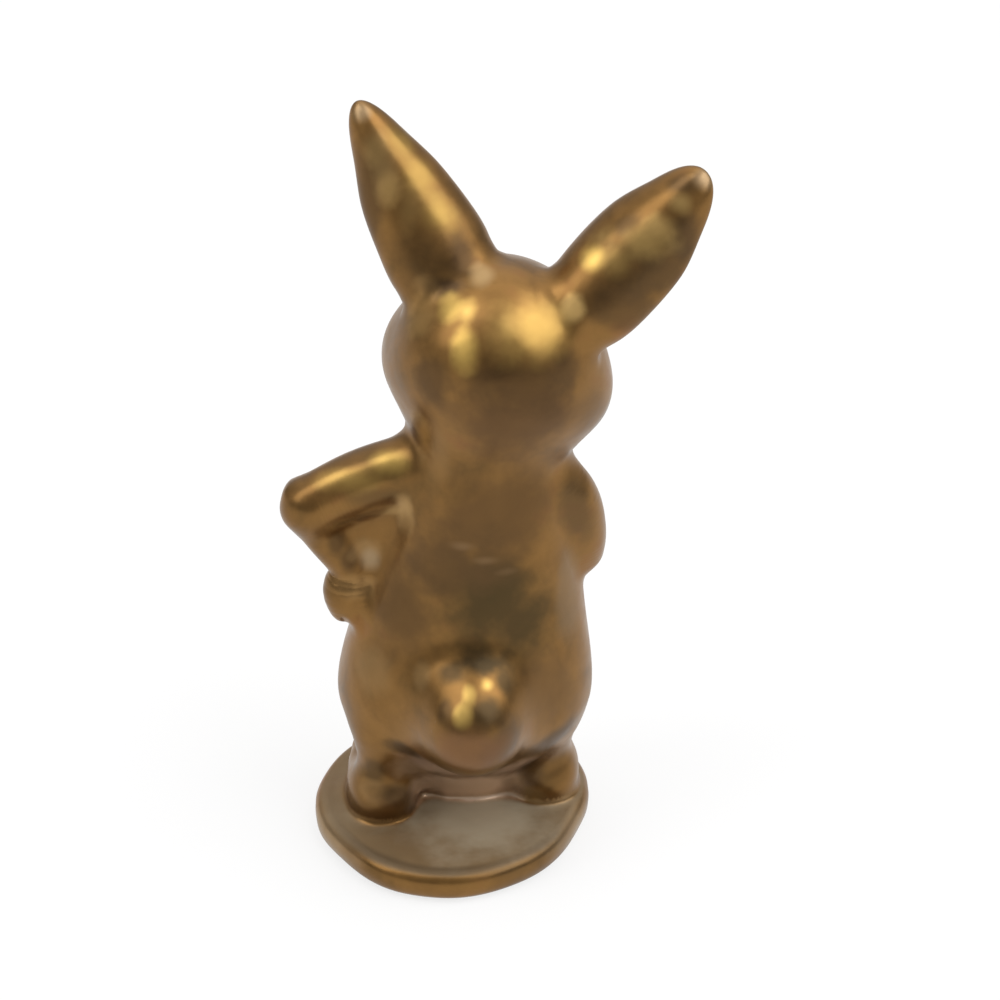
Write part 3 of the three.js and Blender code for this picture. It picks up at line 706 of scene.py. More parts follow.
def make_piece(name):
    """Settles every grid of a piece and puts them into one mesh, with normals and a shade for hollows."""
    places, normals, faces, start = [], [], [], 0
    for own in [i for i, form in enumerate(FORMS) if form[0] == name]:
        rings = GRIDS[own]
        rows, columns = rings.shape[:2]
        flat = np.vstack([rings[0, :1], rings[1:-1].reshape(-1, 3), rings[-1, :1]])
        place, normal = settle(flat, own)
        parts = shell_faces(rows, columns, start)
        corner = place[parts[0][:, :3] - start]
        volume = np.einsum("ij,ij->", corner[:, 0], np.cross(corner[:, 1], corner[:, 2]))
        faces += [face[::-1] if volume < 0 else face for part in parts for face in part.tolist()]
        places.append(place)
        normals.append(normal)
        start += len(flat)
    place, normal = np.vstack(places), np.vstack(normals)
    mesh = bpy.data.meshes.new(name + "_skin")
    mesh.from_pydata((place + FIGURE_FOOT) * MM, [], faces)
    mesh.shade_smooth()
    shade = mesh.attributes.new("hollow", "FLOAT", "POINT")
    shade.data.foreach_set("value", feel(place, normal).astype(np.float32))
    mesh.normals_split_custom_set_from_vertices(normal)
    piece = bpy.data.objects.new(name + "_gilded", mesh)
    bpy.context.scene.collection.objects.link(piece)
    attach(piece, "root")
    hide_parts(name)
    print(piece.name, len(mesh.vertices), "vertices,", len(mesh.polygons), "faces")
    return piece


made = {name: make_piece(name) for name in PIECES}

# %% [markdown]
# ## Gold lustre
#
# Lustre is a film of real gold, so the shader is metallic. The film lies thick and thin: it reads olive
# where it is heavy and reddish where it is thin, and in the hollows its colour is darkened to brown as
# painted shade. Where hands have rubbed it away, white glaze shows. Such a film could be painted into an
# image. Node groups keep it procedural: one makes its clouds and the painted shade in hollows, one the faint
# ripples of the glaze, one a patch and one all patches.

# %% Node tools
def wire(tree, kind, sources=(), **settings):
    """Adds a node, sets its options and joins or sets its inputs by name or number."""
    node = tree.nodes.new("ShaderNode" + kind)
    for key, value in settings.items():
        setattr(node, key, value)
    for key, source in dict(sources).items():
        if isinstance(source, bpy.types.NodeSocket):
            tree.links.new(source, node.inputs[key])
        else:
            node.inputs[key].default_value = source
    return node


def grouped(tree, group, sources):
    """A node group placed in a tree."""
    return wire(tree, "Group", sources, node_tree=group).outputs


def ramp(tree, source, stops):
    """A colour ramp through the given places and colours."""
    node = wire(tree, "ValToRGB", {"Fac": source})
    bar = node.color_ramp.elements
    while len(bar) < len(stops):
        bar.new(0.5)
    for element, (place, colour) in zip(bar, stops):
        element.position = place
        element.color = (*colour, 1)
    return node.outputs["Color"]


def blend(tree, share, first, second):
    """Mixes two colours by a share; the Mix node's sockets 6 and 7 are its colours."""
    first, second = ((*c, 1) if isinstance(c, tuple) else c for c in (first, second))
    return wire(tree, "Mix", {0: share, 6: first, 7: second}, data_type="RGBA").outputs[2]


def maths(tree, operation, first, second=0.0):
    """One step of arithmetic."""
    return wire(tree, "Math", {0: first, 1: second}, operation=operation).outputs[0]


def times(tree, first, second):
    """A product."""
    return maths(tree, "MULTIPLY", first, second)


def vector(tree, operation, first, second=(0, 0, 0)):
    """One step of vector arithmetic; a length or a distance is a value."""
    node = wire(tree, "VectorMath", {0: first, 1: second}, operation=operation)
    return node.outputs["Value" if operation in ("LENGTH", "DISTANCE", "DOT_PRODUCT") else "Vector"]


def on_piece(tree):
    """The place on the piece, in metres."""
    return wire(tree, "TexCoord").outputs["Object"]


def spread(tree, value, low, high, to_low=0.0, to_high=1.0):
    """Maps a range of a value to another range, and stops at its ends."""
    sources = {0: value, 1: low, 2: high, 3: to_low, 4: to_high}
    return wire(tree, "MapRange", sources, interpolation_type="SMOOTHSTEP").outputs[0]


def cloud(tree, place, scale, detail=2.0, roughness=0.5, distortion=0.0):
    """Noise over the object, in features per metre."""
    sources = {"Vector": place, "Scale": scale, "Detail": detail}
    sources.update({"Roughness": roughness, "Distortion": distortion})
    return wire(tree, "TexNoise", sources).outputs["Fac"]


def effect(name, inputs, outputs):
    """An empty node group with named sockets."""
    group = bpy.data.node_groups.new(name, "ShaderNodeTree")
    for label, kind, value in inputs:
        group.interface.new_socket(label, in_out="INPUT", socket_type=kind).default_value = value
    for label, kind in outputs:
        group.interface.new_socket(label, in_out="OUTPUT", socket_type=kind)
    return group, group.nodes.new("NodeGroupInput").outputs, group.nodes.new("NodeGroupOutput").inputs


print("node tools ready")

# %% Effects that both finishes share
lustre, given, result = effect(
    "patchy_lustre_and_crease_shade",
    [("Hollow", "NodeSocketFloat", 0.0), ("Patches", "NodeSocketFloat", 1.0)],
    [("Colour", "NodeSocketColor"), ("Roughness", "NodeSocketFloat")],
)
place = on_piece(lustre)
film = cloud(lustre, place, 105, 3, 0.55, 0.6)
mottle = cloud(lustre, place, 430, 4, 0.6, 0.3)
thick = maths(lustre, "ADD", times(lustre, film, 0.72), times(lustre, mottle, 0.28))
patched = ramp(
    lustre,
    thick,
    [
        (0.34, (0.14, 0.076, 0.023)),
        (0.46, (0.21, 0.108, 0.031)),
        (0.56, (0.25, 0.13, 0.037)),
        (0.68, (0.26, 0.122, 0.039)),
    ],
)
even = blend(lustre, given["Patches"], (0.23, 0.12, 0.037), patched)
# Painted shade: the colour darkens towards dark brown where the skin is closed in, in hollows and creases.
crease_shade = spread(lustre, given["Hollow"], 0.2, 0.7, 0.0, 0.4)
lustre.links.new(blend(lustre, crease_shade, even, (0.07, 0.038, 0.014)), result["Colour"])
lustre.links.new(spread(lustre, mottle, 0.3, 0.7, 0.29, 0.37), result["Roughness"])

glaze, given, result = effect(
    "glaze_ripples", [("Depth", "NodeSocketFloat", 1.0)], [("Height", "NodeSocketFloat")]
)
place = on_piece(glaze)
waves = cloud(glaze, place, 240, 2, 0.4)
pores = cloud(glaze, place, 1500, 2, 0.5)
height = maths(glaze, "ADD", waves, times(glaze, pores, 0.03))
glaze.links.new(times(glaze, height, given["Depth"]), result["Height"])

patch, given, result = effect(
    "patch_of_light_shade_and_wear",
    [
        ("Centre", "NodeSocketVector", (0, 0, 0)),
        ("Reach", "NodeSocketVector", (1, 1, 1)),
        ("Fray", "NodeSocketFloat", 0.0),
        ("Softness", "NodeSocketFloat", 0.4),
    ],
    [("Share", "NodeSocketFloat")],
)
OUTSIDE = 0.4  # share of its softness by which a patch fades outside its reach
off = vector(patch, "SUBTRACT", on_piece(patch), given["Centre"])
away = vector(patch, "LENGTH", vector(patch, "DIVIDE", off, given["Reach"]))
away = maths(patch, "ADD", away, given["Fray"])
inner = maths(patch, "SUBTRACT", 1.0, given["Softness"])
outer = maths(patch, "ADD", 1.0, times(patch, given["Softness"], OUTSIDE))
patch.links.new(spread(patch, away, inner, outer, 1.0, 0.0), result["Share"])
print("effects:", lustre.name, glaze.name, patch.name)

# %% [markdown]
# ## Patches of painted light and shade
#
# Darker patches paint shade and dark reflections into the film's colour, lighter ones paint light where
# shade falls, and bright gold ones paint the lamps' highlights. Each patch is an ellipsoid in space: inside
# it the film takes another colour, and a cloud frays its edge. Vertex colours could carry the patches too,
# but these stay the same on any mesh and run across the joins from piece to piece.

# %% Patches of painted light and shade
# painted shade and dark reflections, and painted light where shade falls: middle and half sizes in mm,
# colour, share
PAINTED_SHADE_AND_LIGHT = {
    "darker on the lower back": ((-4.8, 6.2, 33.6), (7.4, 5.0, 8.2), (0.066, 0.043, 0.016), 0.9),
    "brown on the upper back": ((-5.4, 5.1, 43.2), (7.8, 4.8, 7.4), (0.115, 0.062, 0.024), 0.7),
    "brown over the left hip": ((5.2, 4.4, 30.8), (4.8, 4.2, 6.2), (0.11, 0.06, 0.023), 0.75),
    "brown left of the back": ((0.6, 5.2, 37.6), (4.4, 4.0, 5.2), (0.11, 0.06, 0.023), 0.7),
    "brown over the right hip": ((-10.4, 6.2, 21.6), (4.6, 4.4, 4.6), (0.15, 0.085, 0.036), 0.55),
    "lighter on the left hip": ((8.9, 4.6, 23.6), (2.8, 2.8, 2.8), (0.3, 0.18, 0.072), 0.5),
    "lighter on the right side": ((-12.9, 1.8, 32.3), (1.6, 2.5, 7.0), (0.23, 0.155, 0.085), 0.5),
    "bright beside the spine": ((1.3, 3.2, 51.2), (1.6, 2.5, 6.0), (0.26, 0.145, 0.05), 0.6),
    "brown round the nape": ((-7.0, 5.5, 56.4), (9.4, 5.0, 5.2), (0.12, 0.064, 0.026), 0.85),
    "brown on the right cheek": ((-15.0, 2.0, 55.6), (2.8, 3.2, 4.4), (0.15, 0.088, 0.04), 0.5),
    "darker under the back of the head": ((-8.6, 6.3, 60.7), (7.0, 4.0, 4.0), (0.085, 0.046, 0.018), 0.75),
    "darker left of the nape": ((1.9, 4.1, 60.4), (2.6, 2.6, 3.0), (0.08, 0.044, 0.018), 0.7),
    "darker right of the nape": ((-12.3, 4.2, 61.2), (2.6, 2.6, 2.6), (0.085, 0.048, 0.02), 0.7),
    "darker right of the crown": ((-10.7, 1.7, 66.7), (1.4, 2.0, 2.2), (0.18, 0.1, 0.033), 0.65),
    "darker at the left ear's root": ((2.1, -2.6, 70.9), (4.4, 4.0, 4.2), (0.1, 0.055, 0.021), 0.5),
    "darker beside the left ear": ((-1.2, -3.0, 71.2), (2.2, 2.4, 3.2), (0.065, 0.036, 0.015), 0.85),
    "darker under the left ear": ((0.4, -1.0, 68.7), (2.8, 1.6, 1.4), (0.05, 0.028, 0.012), 0.9),
    "lighter at the left ear's foot": ((2.2, -1.7, 68.2), (1.6, 1.6, 1.6), (0.4, 0.235, 0.085), 0.35),
    "darker on the left ear's edge": ((8.4, -6.6, 75.6), (2.2, 3.0, 8.0), (0.1, 0.055, 0.021), 0.75),
    "darker at the right ear's root": ((-18.4, 1.4, 67.9), (4.4, 3.5, 3.4), (0.09, 0.052, 0.023), 0.65),
    "darker on the right ear's edge": ((-22.2, 0.4, 71.4), (4.2, 2.6, 3.8), (0.09, 0.053, 0.023), 0.75),
    "darker by the right ear's tip": ((-24.5, -0.6, 75.0), (2.4, 2.2, 2.8), (0.085, 0.05, 0.023), 0.8),
    "darker low on the right ear's ridge": ((-18.6, -2.4, 75.4), (2.4, 1.4, 1.8), (0.1, 0.058, 0.024), 0.75),
    "darker high on the right ear's ridge": ((-24.2, -3.0, 79.9), (2.2, 1.5, 1.6), (0.09, 0.052, 0.022), 0.8),
    "brown on the right arm": ((-13.9, 0.8, 41.6), (2.5, 2.6, 4.8), (0.1, 0.063, 0.03), 0.65),
    "darker on top of the left arm": ((11.4, -0.2, 47.6), (3.6, 1.5, 1.2), (0.13, 0.072, 0.026), 0.6),
    "brown along the left arm": ((8.4, 1.8, 44.9), (4.0, 1.5, 1.2), (0.12, 0.07, 0.026), 0.6),
    "darker high inside the left arm": ((12.2, 1.4, 38.4), (1.2, 1.4, 1.9), (0.08, 0.045, 0.018), 0.7),
    "darker low inside the left arm": ((10.9, 1.0, 35.8), (1.1, 1.4, 1.9), (0.08, 0.045, 0.018), 0.7),
    "lighter beside the neck": ((2.9, 2.0, 52.4), (1.6, 2.2, 3.8), (0.5, 0.31, 0.12), 0.85),
    "lighter right of the recess": ((4.8, 1.5, 42.0), (1.2, 1.6, 2.8), (0.45, 0.28, 0.11), 0.75),
    "lighter in the recess": ((9.3, 0.2, 36.6), (2.0, 1.4, 1.6), (0.36, 0.22, 0.09), 0.5),
    "lighter left of the crown": ((3.2, 0.2, 65.4), (2.2, 2.6, 3.0), (0.42, 0.245, 0.08), 0.75),
    "lighter right of the crown": ((-13.1, 1.2, 67.6), (1.3, 1.7, 1.7), (0.85, 0.55, 0.2), 0.9),
    "lighter under the left arm": ((7.5, 0.9, 42.2), (2.4, 1.6, 1.2), (0.45, 0.285, 0.105), 0.8),
    "lighter inside the left elbow": ((11.4, 1.5, 40.8), (2.2, 1.6, 1.2), (0.45, 0.285, 0.105), 0.8),
    "lighter at the left wrist": ((10.0, 0.8, 32.2), (3.6, 2.5, 1.6), (0.34, 0.2, 0.075), 0.6),
    "darker left above the tail": ((0.0, 9.0, 26.4), (2.4, 1.8, 1.4), (0.075, 0.045, 0.018), 0.9),
    "brown left on the tail": ((0.5, 11.9, 23.8), (1.1, 1.6, 1.8), (0.09, 0.052, 0.021), 0.75),
    "lighter left of the tail": ((3.0, 7.6, 25.2), (1.3, 1.8, 2.4), (0.34, 0.205, 0.08), 0.6),
    "darker above the tail": ((-3.6, 8.3, 27.0), (4.0, 2.0, 1.7), (0.05, 0.032, 0.013), 1.0),
    "darker right above the tail": ((-6.0, 9.2, 25.3), (1.5, 2.0, 2.2), (0.07, 0.044, 0.018), 0.85),
    "darker right on the tail": ((-4.2, 12.2, 23.9), (2.0, 2.2, 2.4), (0.06, 0.038, 0.016), 0.95),
    "brown low on the tail": ((-5.6, 12.4, 19.6), (2.8, 2.6, 3.0), (0.1, 0.062, 0.032), 0.75),
    "lighter on the tail": ((-2.2, 14.3, 19.4), (4.6, 3.0, 2.8), (0.19, 0.096, 0.046), 0.7),
    "lighter under the tail": ((-1.4, 2.4, 6.6), (6.6, 4.0, 4.4), (0.8, 0.6, 0.44), 1.0),
    "lighter below the left hip": ((1.4, 7.4, 12.8), (4.4, 4.0, 2.6), (0.75, 0.55, 0.4), 0.85),
    "lighter below the right hip": ((-7.0, 5.2, 11.0), (2.4, 3.0, 2.2), (0.7, 0.5, 0.36), 0.8),
    "darker on the left leg": ((8.6, 5.1, 10.4), (1.5, 2.2, 1.8), (0.085, 0.05, 0.02), 0.75),
    "lighter on the left leg": ((8.9, 5.6, 7.9), (1.8, 2.0, 1.3), (0.34, 0.2, 0.08), 0.6),
    "darker inside the left leg": ((6.0, 5.5, 7.4), (1.8, 2.2, 1.8), (0.08, 0.046, 0.02), 0.8),
    "lighter beside the left leg": ((4.6, 5.6, 11.0), (2.2, 2.4, 2.2), (0.6, 0.42, 0.26), 0.8),
    "darker at the left heel": ((7.4, 5.8, 5.5), (3.8, 3.0, 2.0), (0.1, 0.056, 0.023), 0.45),
    "darker beside the left leg": ((5.0, 7.2, 15.0), (2.3, 2.0, 1.2), (0.07, 0.04, 0.016), 0.8),
    "darker on the right leg": ((-10.8, 2.6, 9.4), (3.0, 3.6, 3.4), (0.085, 0.05, 0.02), 0.3),
    "darker inside the right leg": ((-9.2, 2.6, 7.9), (1.6, 2.4, 2.2), (0.075, 0.045, 0.02), 0.6),
    "lighter inside the right foot": ((-9.3, 2.3, 4.9), (1.4, 1.6, 1.2), (0.3, 0.19, 0.08), 0.7),
    "darker beside the right leg": ((-11.2, 5.0, 14.7), (5.0, 3.0, 2.0), (0.085, 0.05, 0.021), 0.85),
    "lighter on the slab's left edge": ((13.6, 6.0, 2.4), (4.0, 8.0, 2.6), (0.36, 0.26, 0.15), 0.6),
    "lighter on the slab's right edge": ((-13.6, 5.0, 2.4), (4.0, 8.0, 2.6), (0.36, 0.26, 0.15), 0.6),
}
# painted highlights, where the lamps are mirrored
PAINTED_HIGHLIGHTS = {
    "high left of the crown": ((-0.4, 1.0, 67.2), (1.6, 2.0, 1.6), (0.62, 0.4, 0.105), 0.9),
    "upper left of the crown": ((-2.0, 2.0, 67.4), (1.2, 1.5, 1.6), (0.7, 0.45, 0.125), 0.75),
    "low left of the crown": ((-1.7, 4.7, 64.8), (1.5, 2.4, 2.6), (0.9, 0.58, 0.15), 0.95),
    "between the crown's lights": ((-6.2, 3.6, 66.4), (2.4, 2.6, 3.8), (0.5, 0.31, 0.09), 0.85),
    "right of the crown": ((-9.0, 3.1, 66.2), (3.6, 4.2, 3.9), (0.46, 0.285, 0.075), 0.9),
    "high on the left ear": ((4.8, -9.4, 81.4), (1.7, 2.0, 2.4), (0.38, 0.24, 0.064), 0.6),
    "half way up the left ear": ((2.9, -7.3, 78.5), (2.0, 2.0, 2.6), (0.4, 0.25, 0.066), 0.7),
    "low on the left ear": ((0.8, -5.5, 75.2), (2.2, 2.2, 2.6), (0.42, 0.265, 0.07), 0.8),
    "left on the left ear": ((6.6, -6.8, 78.8), (1.3, 1.7, 3.0), (0.42, 0.26, 0.1), 0.7),
    "top left on the left ear": ((7.6, -8.0, 81.2), (1.2, 1.6, 1.8), (0.44, 0.275, 0.1), 0.7),
    "middle of the left ear": ((4.0, -5.3, 75.6), (1.4, 1.6, 3.0), (0.34, 0.205, 0.066), 0.6),
    "lower left on the left ear": ((6.1, -6.1, 77.4), (1.3, 1.6, 2.0), (0.56, 0.345, 0.12), 0.85),
    "at the left ear's root": ((-3.6, -1.9, 69.6), (1.4, 1.6, 1.4), (0.42, 0.28, 0.13), 0.7),
    "low on the right ear": ((-15.1, -1.6, 72.1), (1.7, 1.8, 1.7), (0.75, 0.49, 0.13), 1.0),
    "low beside the right ear's ridge": ((-17.4, -0.3, 72.2), (2.0, 1.8, 1.8), (0.46, 0.29, 0.09), 0.7),
    "left of the right ear's ridge": ((-16.0, -2.8, 73.9), (2.0, 1.6, 2.0), (0.4, 0.255, 0.085), 0.7),
    "half way up the right ear": ((-20.7, -0.5, 74.3), (3.0, 1.9, 2.3), (0.5, 0.32, 0.105), 0.8),
    "high on the right ear": ((-21.9, -1.0, 75.9), (2.0, 1.4, 1.4), (0.6, 0.38, 0.13), 0.9),
    "near the right ear's tip": ((-24.2, -1.9, 78.2), (1.2, 1.3, 1.3), (0.52, 0.33, 0.115), 0.9),
    "along the left arm": ((10.6, 1.6, 46.5), (4.2, 1.5, 1.5), (0.46, 0.29, 0.08), 0.85),
    "at the left shoulder": ((6.1, 0.8, 48.2), (2.4, 1.6, 1.6), (0.55, 0.355, 0.095), 0.85),
    "left on the tail": ((-1.4, 13.0, 23.8), (1.0, 1.4, 1.4), (0.66, 0.43, 0.12), 1.0),
    "top of the tail": ((-2.1, 11.4, 25.2), (0.9, 1.5, 1.2), (0.6, 0.385, 0.105), 1.0),
    "right on the tail": ((-4.1, 10.2, 25.6), (0.9, 1.0, 0.9), (0.62, 0.4, 0.11), 1.0),
    "left of the spine": ((-1.4, 5.6, 40.4), (1.5, 1.5, 0.6), (0.22, 0.13, 0.06), 0.6),
    "on the spine": ((-3.9, 6.3, 38.8), (1.7, 1.5, 0.55), (0.22, 0.13, 0.06), 0.6),
    "right of the spine": ((-6.6, 6.6, 37.3), (1.5, 1.5, 0.55), (0.2, 0.12, 0.055), 0.5),
}
# where hands have rubbed the film away at the ear tips, and a pale painted highlight on the left hip
RUBBED_AND_PALE_HIGHLIGHT = {
    "left ear's tip": ((9.1, -10.3, 84.5), (1.2, 1.2, 1.2)),
    "right ear's tip": ((-26.7, -3.4, 80.2), (1.3, 1.3, 1.3)),
    "pale highlight on the left hip, under the arm": ((8.7, 0.0, 35.3), (1.3, 1.3, 1.5)),
}


def patch_share(tree, fray, centre, reach, softness):
    """How much of a patch is at a point."""
    inputs = {"Centre": np.multiply(centre, MM), "Reach": np.multiply(reach, MM), "Fray": fray}
    return grouped(tree, patch, {**inputs, "Softness": softness})["Share"]


def blot(tree, most):
    """A cloud about 0, for frayed edges."""
    clouds = cloud(tree, on_piece(tree), 170, 3.5, 0.55)
    return times(tree, maths(tree, "SUBTRACT", clouds, 0.5), most)


FRAY = 1.7
PAINTED_SHADE_SOFTNESS, PAINTED_HIGHLIGHT_SOFTNESS, RUB_AND_HIGHLIGHT_SOFTNESS = 0.65, 0.9, 0.8
# Painted light and shade: this group lays the darker and lighter patches and the painted highlights over the
# film's colour.
painted_patches, given, result = effect(
    "painted_light_and_shade_patches", [("Colour", "NodeSocketColor", (0.23, 0.12, 0.037, 1))], [("Colour", "NodeSocketColor")]
)
colour, fray = given["Colour"], blot(painted_patches, FRAY)
for patches, softness in ((PAINTED_SHADE_AND_LIGHT, PAINTED_SHADE_SOFTNESS), (PAINTED_HIGHLIGHTS, PAINTED_HIGHLIGHT_SOFTNESS)):
    for centre, reach, laid, most in patches.values():
        share = times(painted_patches, patch_share(painted_patches, fray, centre, reach, softness), most)
        colour = blend(painted_patches, share, colour, laid)
painted_patches.links.new(colour, result["Colour"])
# counts of the patches of painted shade and light, of the painted highlights, and of the rubbed places with
# the pale painted highlight
print("patches:", len(PAINTED_SHADE_AND_LIGHT), "painted_shade_and_light,", len(PAINTED_HIGHLIGHTS), "painted_highlights,", len(RUBBED_AND_PALE_HIGHLIGHT), "rubbed_and_pale_highlight")

# %% [markdown]
# ## The two finishes
#
# The figure has gold all over, with glaze showing at the two rubbed ear tips and a pale painted highlight on
# the left hip. On the slab the gold is worn dull on top, thinnest in the middle behind the feet, darkened
# inside the rim by painted shade, and its underside is bare porcelain. Patches of painted light and shade
# lie on both. Two materials could share one tree with a switch; two plain ones are easier to read and to
# reuse.

# %% Gilt
METAL = 0.85  # a thin film over glaze is not quite a metal
CLOUDS, BUMP_STRENGTH, BUMP_DEPTH = 0.9, 0.25, 0.0004
RUB_AND_HIGHLIGHT_MOST, RUB_AND_HIGHLIGHT_METAL_LOSS = 0.42, 0.6


def finish(name):
    """A material with its Principled shader, the lustre with painted shade in its hollows, the patches of
    painted light and shade, and the bump of the glaze.
    """
    material = bpy.data.materials.new(name)
    material.use_nodes = True
    tree = material.node_tree
    shader = tree.nodes["Principled BSDF"].inputs
    hollow = wire(tree, "Attribute", attribute_name="hollow").outputs["Fac"]
    film = grouped(tree, lustre, {"Hollow": hollow, "Patches": CLOUDS})
    film_with_painted_light = grouped(tree, painted_patches, {"Colour": film["Colour"]})["Colour"]
    height = grouped(tree, glaze, {"Depth": 1.0})["Height"]
    bump = wire(tree, "Bump", {"Height": height, "Strength": BUMP_STRENGTH, "Distance": BUMP_DEPTH})
    tree.links.new(bump.outputs["Normal"], shader["Normal"])
    return material, tree, shader, film_with_painted_light, film["Roughness"]


gilt, tree, shader, film_with_painted_light, roughness = finish("gilt_lustre")
# Rubbed ear tips show glaze; the spot on the left hip is a pale painted highlight.
rubbed_and_pale_highlight = 0.0
for centre, reach in RUBBED_AND_PALE_HIGHLIGHT.values():
    rubbed_and_pale_highlight = maths(tree, "MAXIMUM", rubbed_and_pale_highlight, patch_share(tree, 0.0, centre, reach, RUB_AND_HIGHLIGHT_SOFTNESS))
rubbed_and_pale_highlight = times(tree, rubbed_and_pale_highlight, RUB_AND_HIGHLIGHT_MOST)
metal = maths(tree, "SUBTRACT", METAL, times(tree, rubbed_and_pale_highlight, RUB_AND_HIGHLIGHT_METAL_LOSS))
tree.links.new(blend(tree, rubbed_and_pale_highlight, film_with_painted_light, (0.46, 0.35, 0.21)), shader["Base Color"])
tree.links.new(metal, shader["Metallic"])
tree.links.new(roughness, shader["Roughness"])
print("finish:", gilt.name, len(tree.nodes), "nodes")

# %% Worn gilt
# heights and lengths in metres: the worn top sets in below its face and ends where the feet rise from it
WORN_FROM, WORN_FULL, FEET_FROM, FEET_FULL = 0.0031, 0.0036, 0.00366, 0.00395
THIN_MIDDLE, THIN_INNER, THIN_OUTER = (-0.0024, 0.0038, 0.0036), 0.004, 0.0115
THIN_BLOT, THIN_MOST = 0.012, 0.85
RIM_SHARES = (65, 63, 0)  # one over the half width and half depth at which a ring counts as 1
# the painted dark shade inside the rim: rings where it rises and falls, and its share from the middle to the
# back
BRINK_RISE, BRINK_FALL, BRINK_BACK = (0.84, 0.9), (0.93, 0.97), (0.004, 0.01, 0.15, 0.65)
BARE_FROM, BARE_FULL = 0.0006, 0.0002
DULL_MOST, MATT_TOP, MATT_BARE = 0.7, 0.28, 0.5

worn, tree, shader, film_with_painted_light, roughness = finish("worn_lustre")
place = on_piece(tree)
_, y, z = wire(tree, "SeparateXYZ", {0: place}).outputs
top = times(tree, spread(tree, z, WORN_FROM, WORN_FULL), spread(tree, z, FEET_FROM, FEET_FULL, 1.0, 0.0))
away = maths(tree, "ADD", vector(tree, "DISTANCE", place, THIN_MIDDLE), blot(tree, THIN_BLOT))
thin = spread(tree, away, THIN_INNER, THIN_OUTER, THIN_MOST, 0.0)
ring = vector(tree, "LENGTH", vector(tree, "MULTIPLY", place, RIM_SHARES))
# Painted shade: a dark ring inside the rim, strongest towards the back.
painted_rim_shade = times(tree, spread(tree, ring, *BRINK_RISE), spread(tree, ring, *BRINK_FALL, 1.0, 0.0))
painted_rim_shade = times(tree, painted_rim_shade, spread(tree, y, *BRINK_BACK))
bare = spread(tree, z, BARE_FULL, BARE_FROM, 1.0, 0.0)
layers = [
    (times(tree, top, DULL_MOST), (0.21, 0.152, 0.083)),
    (times(tree, thin, top), (0.36, 0.305, 0.215)),
    (painted_rim_shade, (0.1, 0.066, 0.033)),
    (bare, (0.7, 0.66, 0.6)),
]
for share, laid in layers:
    film_with_painted_light = blend(tree, share, film_with_painted_light, laid)
lost = times(tree, top, spread(tree, thin, 0.0, THIN_MOST, 0.4, 0.7))
metal = times(tree, maths(tree, "SUBTRACT", METAL, lost), maths(tree, "SUBTRACT", 1.0, bare))
matt = maths(tree, "ADD", times(tree, bare, MATT_BARE), times(tree, top, MATT_TOP))
tree.links.new(film_with_painted_light, shader["Base Color"])
tree.links.new(metal, shader["Metallic"])
tree.links.new(maths(tree, "ADD", roughness, matt), shader["Roughness"])

for name, piece in made.items():
    piece.data.materials.append(worn if name == "base" else gilt)
print("finish:", worn.name, len(tree.nodes), "nodes")

# %% [markdown]
# ## Studio
#
# Metal shows what is around it. A white table and a pale band at the horizon give its rims, a dim room above
# darkens what faces it, and two window-like lamps high at both sides give the paired yellow lights. The
# brown of its back is mostly painted shade in the film, and painted highlights strengthen the yellow lights.

# %% Floor, world and lamps
FLOOR_HALF, PAPER_GLOW = 4.0, 0.75
corners = [(FLOOR_HALF * x, FLOOR_HALF * y, 0) for x, y in ((-1, -1), (1, -1), (1, 1), (-1, 1))]
floor_mesh = bpy.data.meshes.new("floor")
floor_mesh.from_pydata(corners, [], [(0, 1, 2, 3)])
floor = bpy.data.objects.new("floor", floor_mesh)
bpy.context.scene.collection.objects.link(floor)

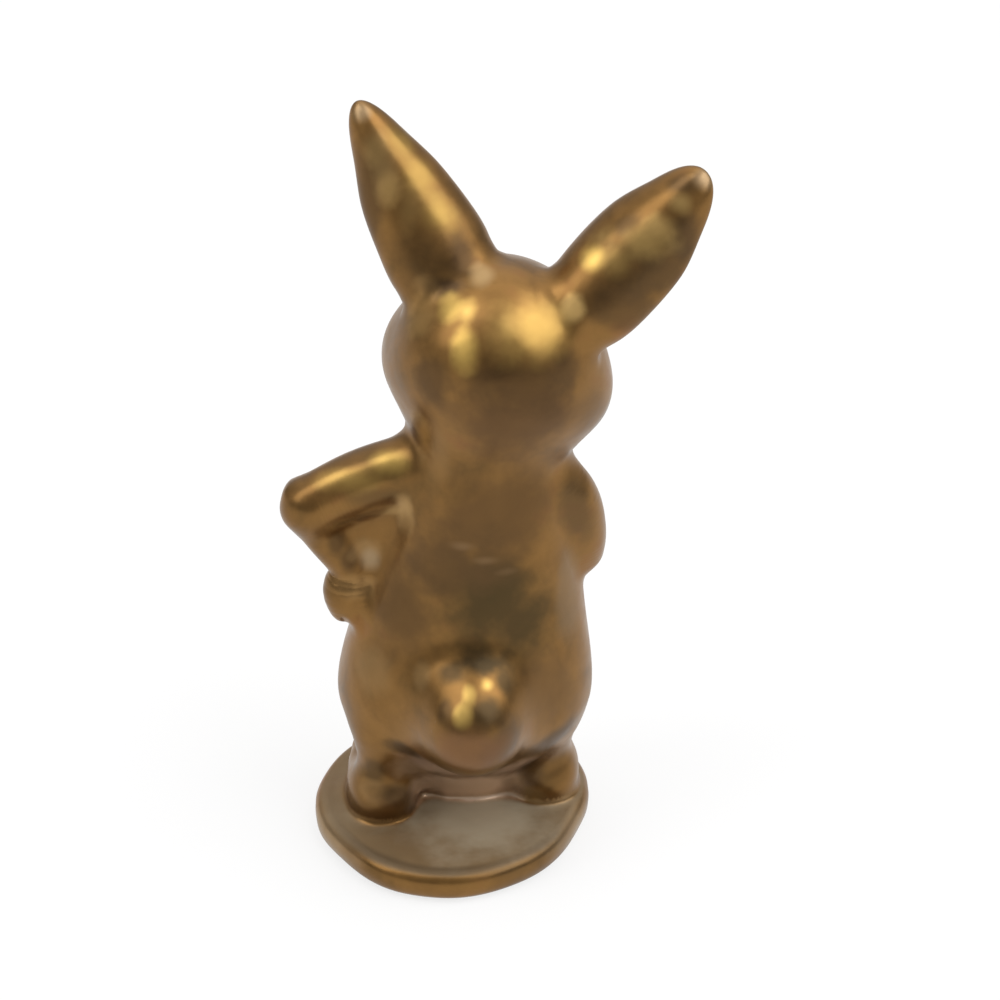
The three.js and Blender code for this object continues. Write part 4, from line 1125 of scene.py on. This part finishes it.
paper = bpy.data.materials.new("paper_floor")
paper.use_nodes = True
tree = paper.node_tree
tree.nodes.clear()
rays = wire(tree, "LightPath").outputs
mirrored = maths(tree, "MAXIMUM", rays["Is Glossy Ray"], rays["Is Transmission Ray"])
seen = maths(tree, "MAXIMUM", rays["Is Camera Ray"], mirrored)
matt = wire(tree, "BsdfDiffuse", {"Color": (0.85, 0.85, 0.85, 1)})
white = wire(tree, "Emission", {"Color": (1, 1, 1, 1), "Strength": 1.0})
mixed = wire(tree, "MixShader", {0: times(tree, seen, PAPER_GLOW), 1: matt.outputs[0], 2: white.outputs[0]})
wire(tree, "OutputMaterial", {"Surface": mixed.outputs[0]})
floor_mesh.materials.append(paper)

world = bpy.data.worlds.new("studio")
world.use_nodes = True
bpy.context.scene.world = world
tree = world.node_tree
way = wire(tree, "TexCoord").outputs["Generated"]
aloft = unit(np.array([0, -0.45, 0.9]))
towards = vector(tree, "DOT_PRODUCT", way, aloft)
grey = [(0.0, 0.3), (0.5, 0.42), (0.88, 1.1), (1.0, 1.6)]
sky = ramp(tree, towards, [(place, (level, level, level)) for place, level in grey])
tree.links.new(sky, tree.nodes["Background"].inputs["Color"])

LAMP_AWAY = 0.9
LAMP_MIDDLE = np.array([-0.004, -0.003, 0.055])


def lamp(name, way, wide, tall, power):
    """A soft window of light that faces the figure."""
    light = bpy.data.lights.new(name, "AREA")
    light.shape, light.size, light.size_y, light.energy = "RECTANGLE", wide, tall, power
    piece = bpy.data.objects.new(name, light)
    away = unit(np.array(way, float))
    piece.location = LAMP_MIDDLE + LAMP_AWAY * away
    across = unit(np.cross([0, 0, 1.0], away))
    frame_axes = np.stack([across, np.cross(away, across), away], 1)
    piece.rotation_mode = "QUATERNION"
    piece.rotation_quaternion = Matrix(frame_axes.tolist()).to_quaternion()
    bpy.context.scene.collection.objects.link(piece)


lamp("left_window", (0.62, 0.21, 0.75), 0.45, 0.95, 3.1)
lamp("right_window", (-0.64, 0.21, 0.75), 0.9, 0.85, 5.5)

# %% [markdown]
# ## Camera
#
# The photograph was taken from behind and above with a long lens, so the figure is hardly foreshortened.

# %% Camera
camera = bpy.data.objects.new("camera", bpy.data.cameras.new("camera"))
camera.data.lens, camera.data.sensor_width = 150.0, 36.0
camera.data.clip_start = 0.01
camera.location = (-0.005459, 0.379615, 0.284695)
camera.rotation_euler = np.radians([57.5, 0.0, 180.0])
bpy.context.scene.collection.objects.link(camera)
bpy.context.scene.camera = camera
bpy.context.scene.view_settings.view_transform = "Standard"
print("camera lens in mm:", camera.data.lens)
